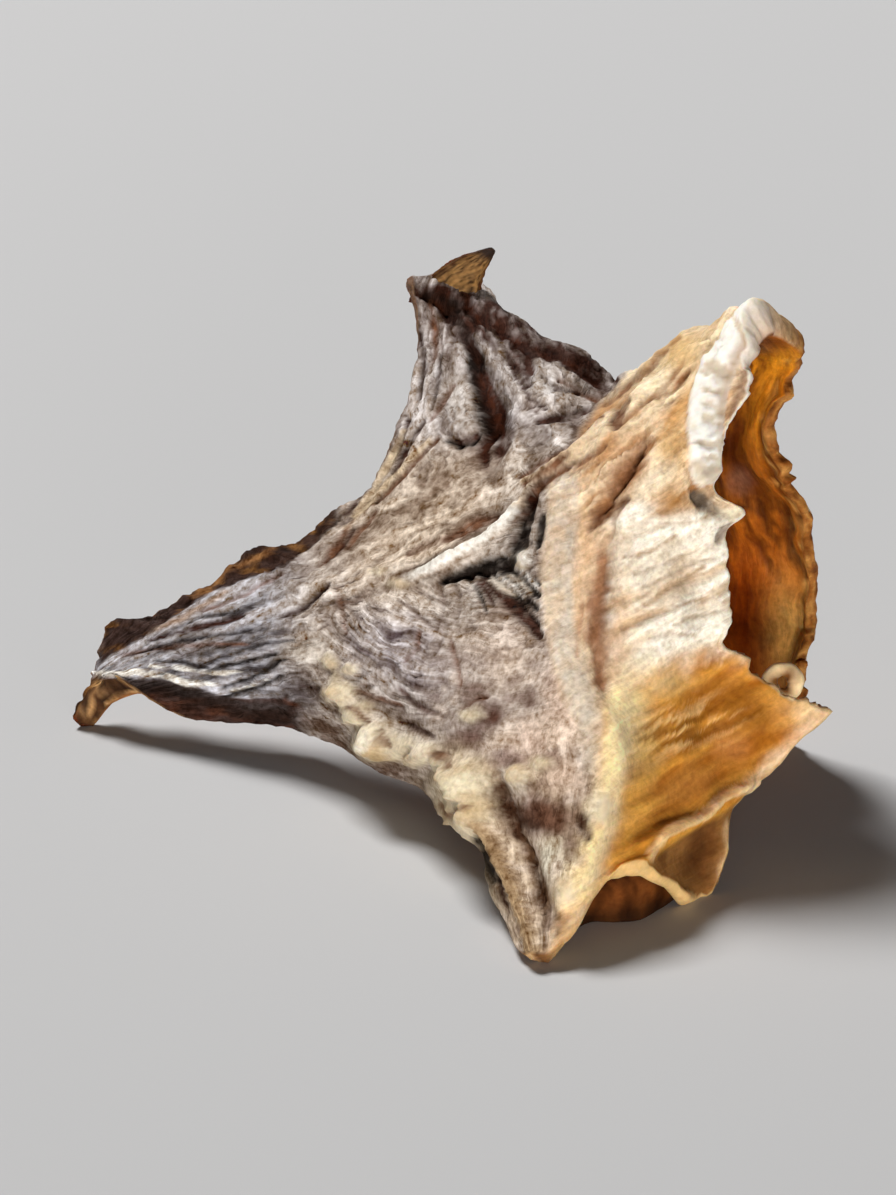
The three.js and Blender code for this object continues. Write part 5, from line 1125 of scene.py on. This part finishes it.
um.polygons.foreach_set("use_smooth", np.ones(len(um.polygons), bool))
um.color_attributes.new("tint", 'FLOAT_COLOR', 'POINT').data.foreach_set(
    "color", np.concatenate([np.clip(tuckcol, 0, 1), np.ones((len(tuckcol), 1))], 1).astype(np.float32).ravel())
for name, value in (("rough", 0.6), ("flesh", 0.3), ("grain", 0.5)):
    um.attributes.new(name, 'FLOAT', 'POINT').data.foreach_set("value", np.full(len(P), value, np.float32))
tuck_ob = bpy.data.objects.new("tucked_edge", um); bpy.context.scene.collection.objects.link(tuck_ob)
um.materials.append(mat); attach(tuck_ob, "root")

# ------------------------------------------------------------------ floor and light
def floor():
    me = bpy.data.meshes.new("floor")
    s = 6.0
    me.from_pydata([(-s, -s, 0), (s, -s, 0), (s, s, 0), (-s, s, 0)], [], [(0, 1, 2, 3)])
    ob = bpy.data.objects.new("floor", me); bpy.context.scene.collection.objects.link(ob)
    m = bpy.data.materials.new("floor"); m.use_nodes = True
    b = m.node_tree.nodes["Principled BSDF"]
    b.inputs["Base Color"].default_value = (0.60, 0.605, 0.62, 1); b.inputs["Roughness"].default_value = 0.9
    b.inputs["Specular IOR Level"].default_value = 0.2
    # far out, where the lamps don't reach, the floor glows as pale as the horizon
    at = m.node_tree.nodes.new("ShaderNodeTexCoord"); far_out = m.node_tree.nodes.new("ShaderNodeVectorMath")
    far_out.operation = 'LENGTH'; glow = m.node_tree.nodes.new("ShaderNodeMapRange"); glow.interpolation_type = 'SMOOTHSTEP'
    for k, v in enumerate((0.9, 3.2, 0.0, 0.37)):
        glow.inputs[k + 1].default_value = v
    m.node_tree.links.new(at.outputs["Object"], far_out.inputs[0])
    m.node_tree.links.new(far_out.outputs["Value"], glow.inputs[0])
    m.node_tree.links.new(glow.outputs[0], b.inputs["Emission Strength"])
    b.inputs["Emission Color"].default_value = (1.0, 0.95, 0.89, 1)
    m.cycles.emission_sampling = 'NONE'
    me.materials.append(m)
floor()
def area(name, loc, target, size, height, power, colour=(1, 1, 1)):
    d = bpy.data.lights.new(name, 'AREA'); d.shape = 'RECTANGLE'; d.size = size; d.size_y = height; d.energy = power; d.color = colour
    o = bpy.data.objects.new(name, d); bpy.context.scene.collection.objects.link(o)
    o.location = loc; o.rotation_euler = (Vector(target) - Vector(loc)).to_track_quat('-Z', 'Y').to_euler()
area("key", (-0.56, 0.79, 1.50), (0, 0, 0.015), 0.54, 0.54, 33.0, (1.0, 0.985, 0.96))
area("front", (0.10, -0.95, 0.045), (0, 0, 0.02), 0.50, 0.07, 8.6, (1.0, 0.985, 0.965))
w = bpy.data.worlds.new("soft"); bpy.context.scene.world = w; w.use_nodes = True
w.node_tree.nodes["Background"].inputs[0].default_value = (1.0, 0.95, 0.89, 1)
sky_at = w.node_tree.nodes.new("ShaderNodeTexCoord"); sky_z = w.node_tree.nodes.new("ShaderNodeSeparateXYZ")
sky = w.node_tree.nodes.new("ShaderNodeMapRange")        # pale at the horizon, dim overhead
sky.interpolation_type = 'SMOOTHSTEP'
for k, v in enumerate((0.06, 0.26, 0.40, 0.018)):
    sky.inputs[k + 1].default_value = v
w.node_tree.links.new(sky_at.outputs["Generated"], sky_z.inputs[0])
w.node_tree.links.new(sky_z.outputs[2], sky.inputs[0])
w.node_tree.links.new(sky.outputs[0], w.node_tree.nodes["Background"].inputs[1])
bpy.context.scene.view_settings.view_transform = 'Standard'
bpy.context.scene.view_settings.look = 'None'
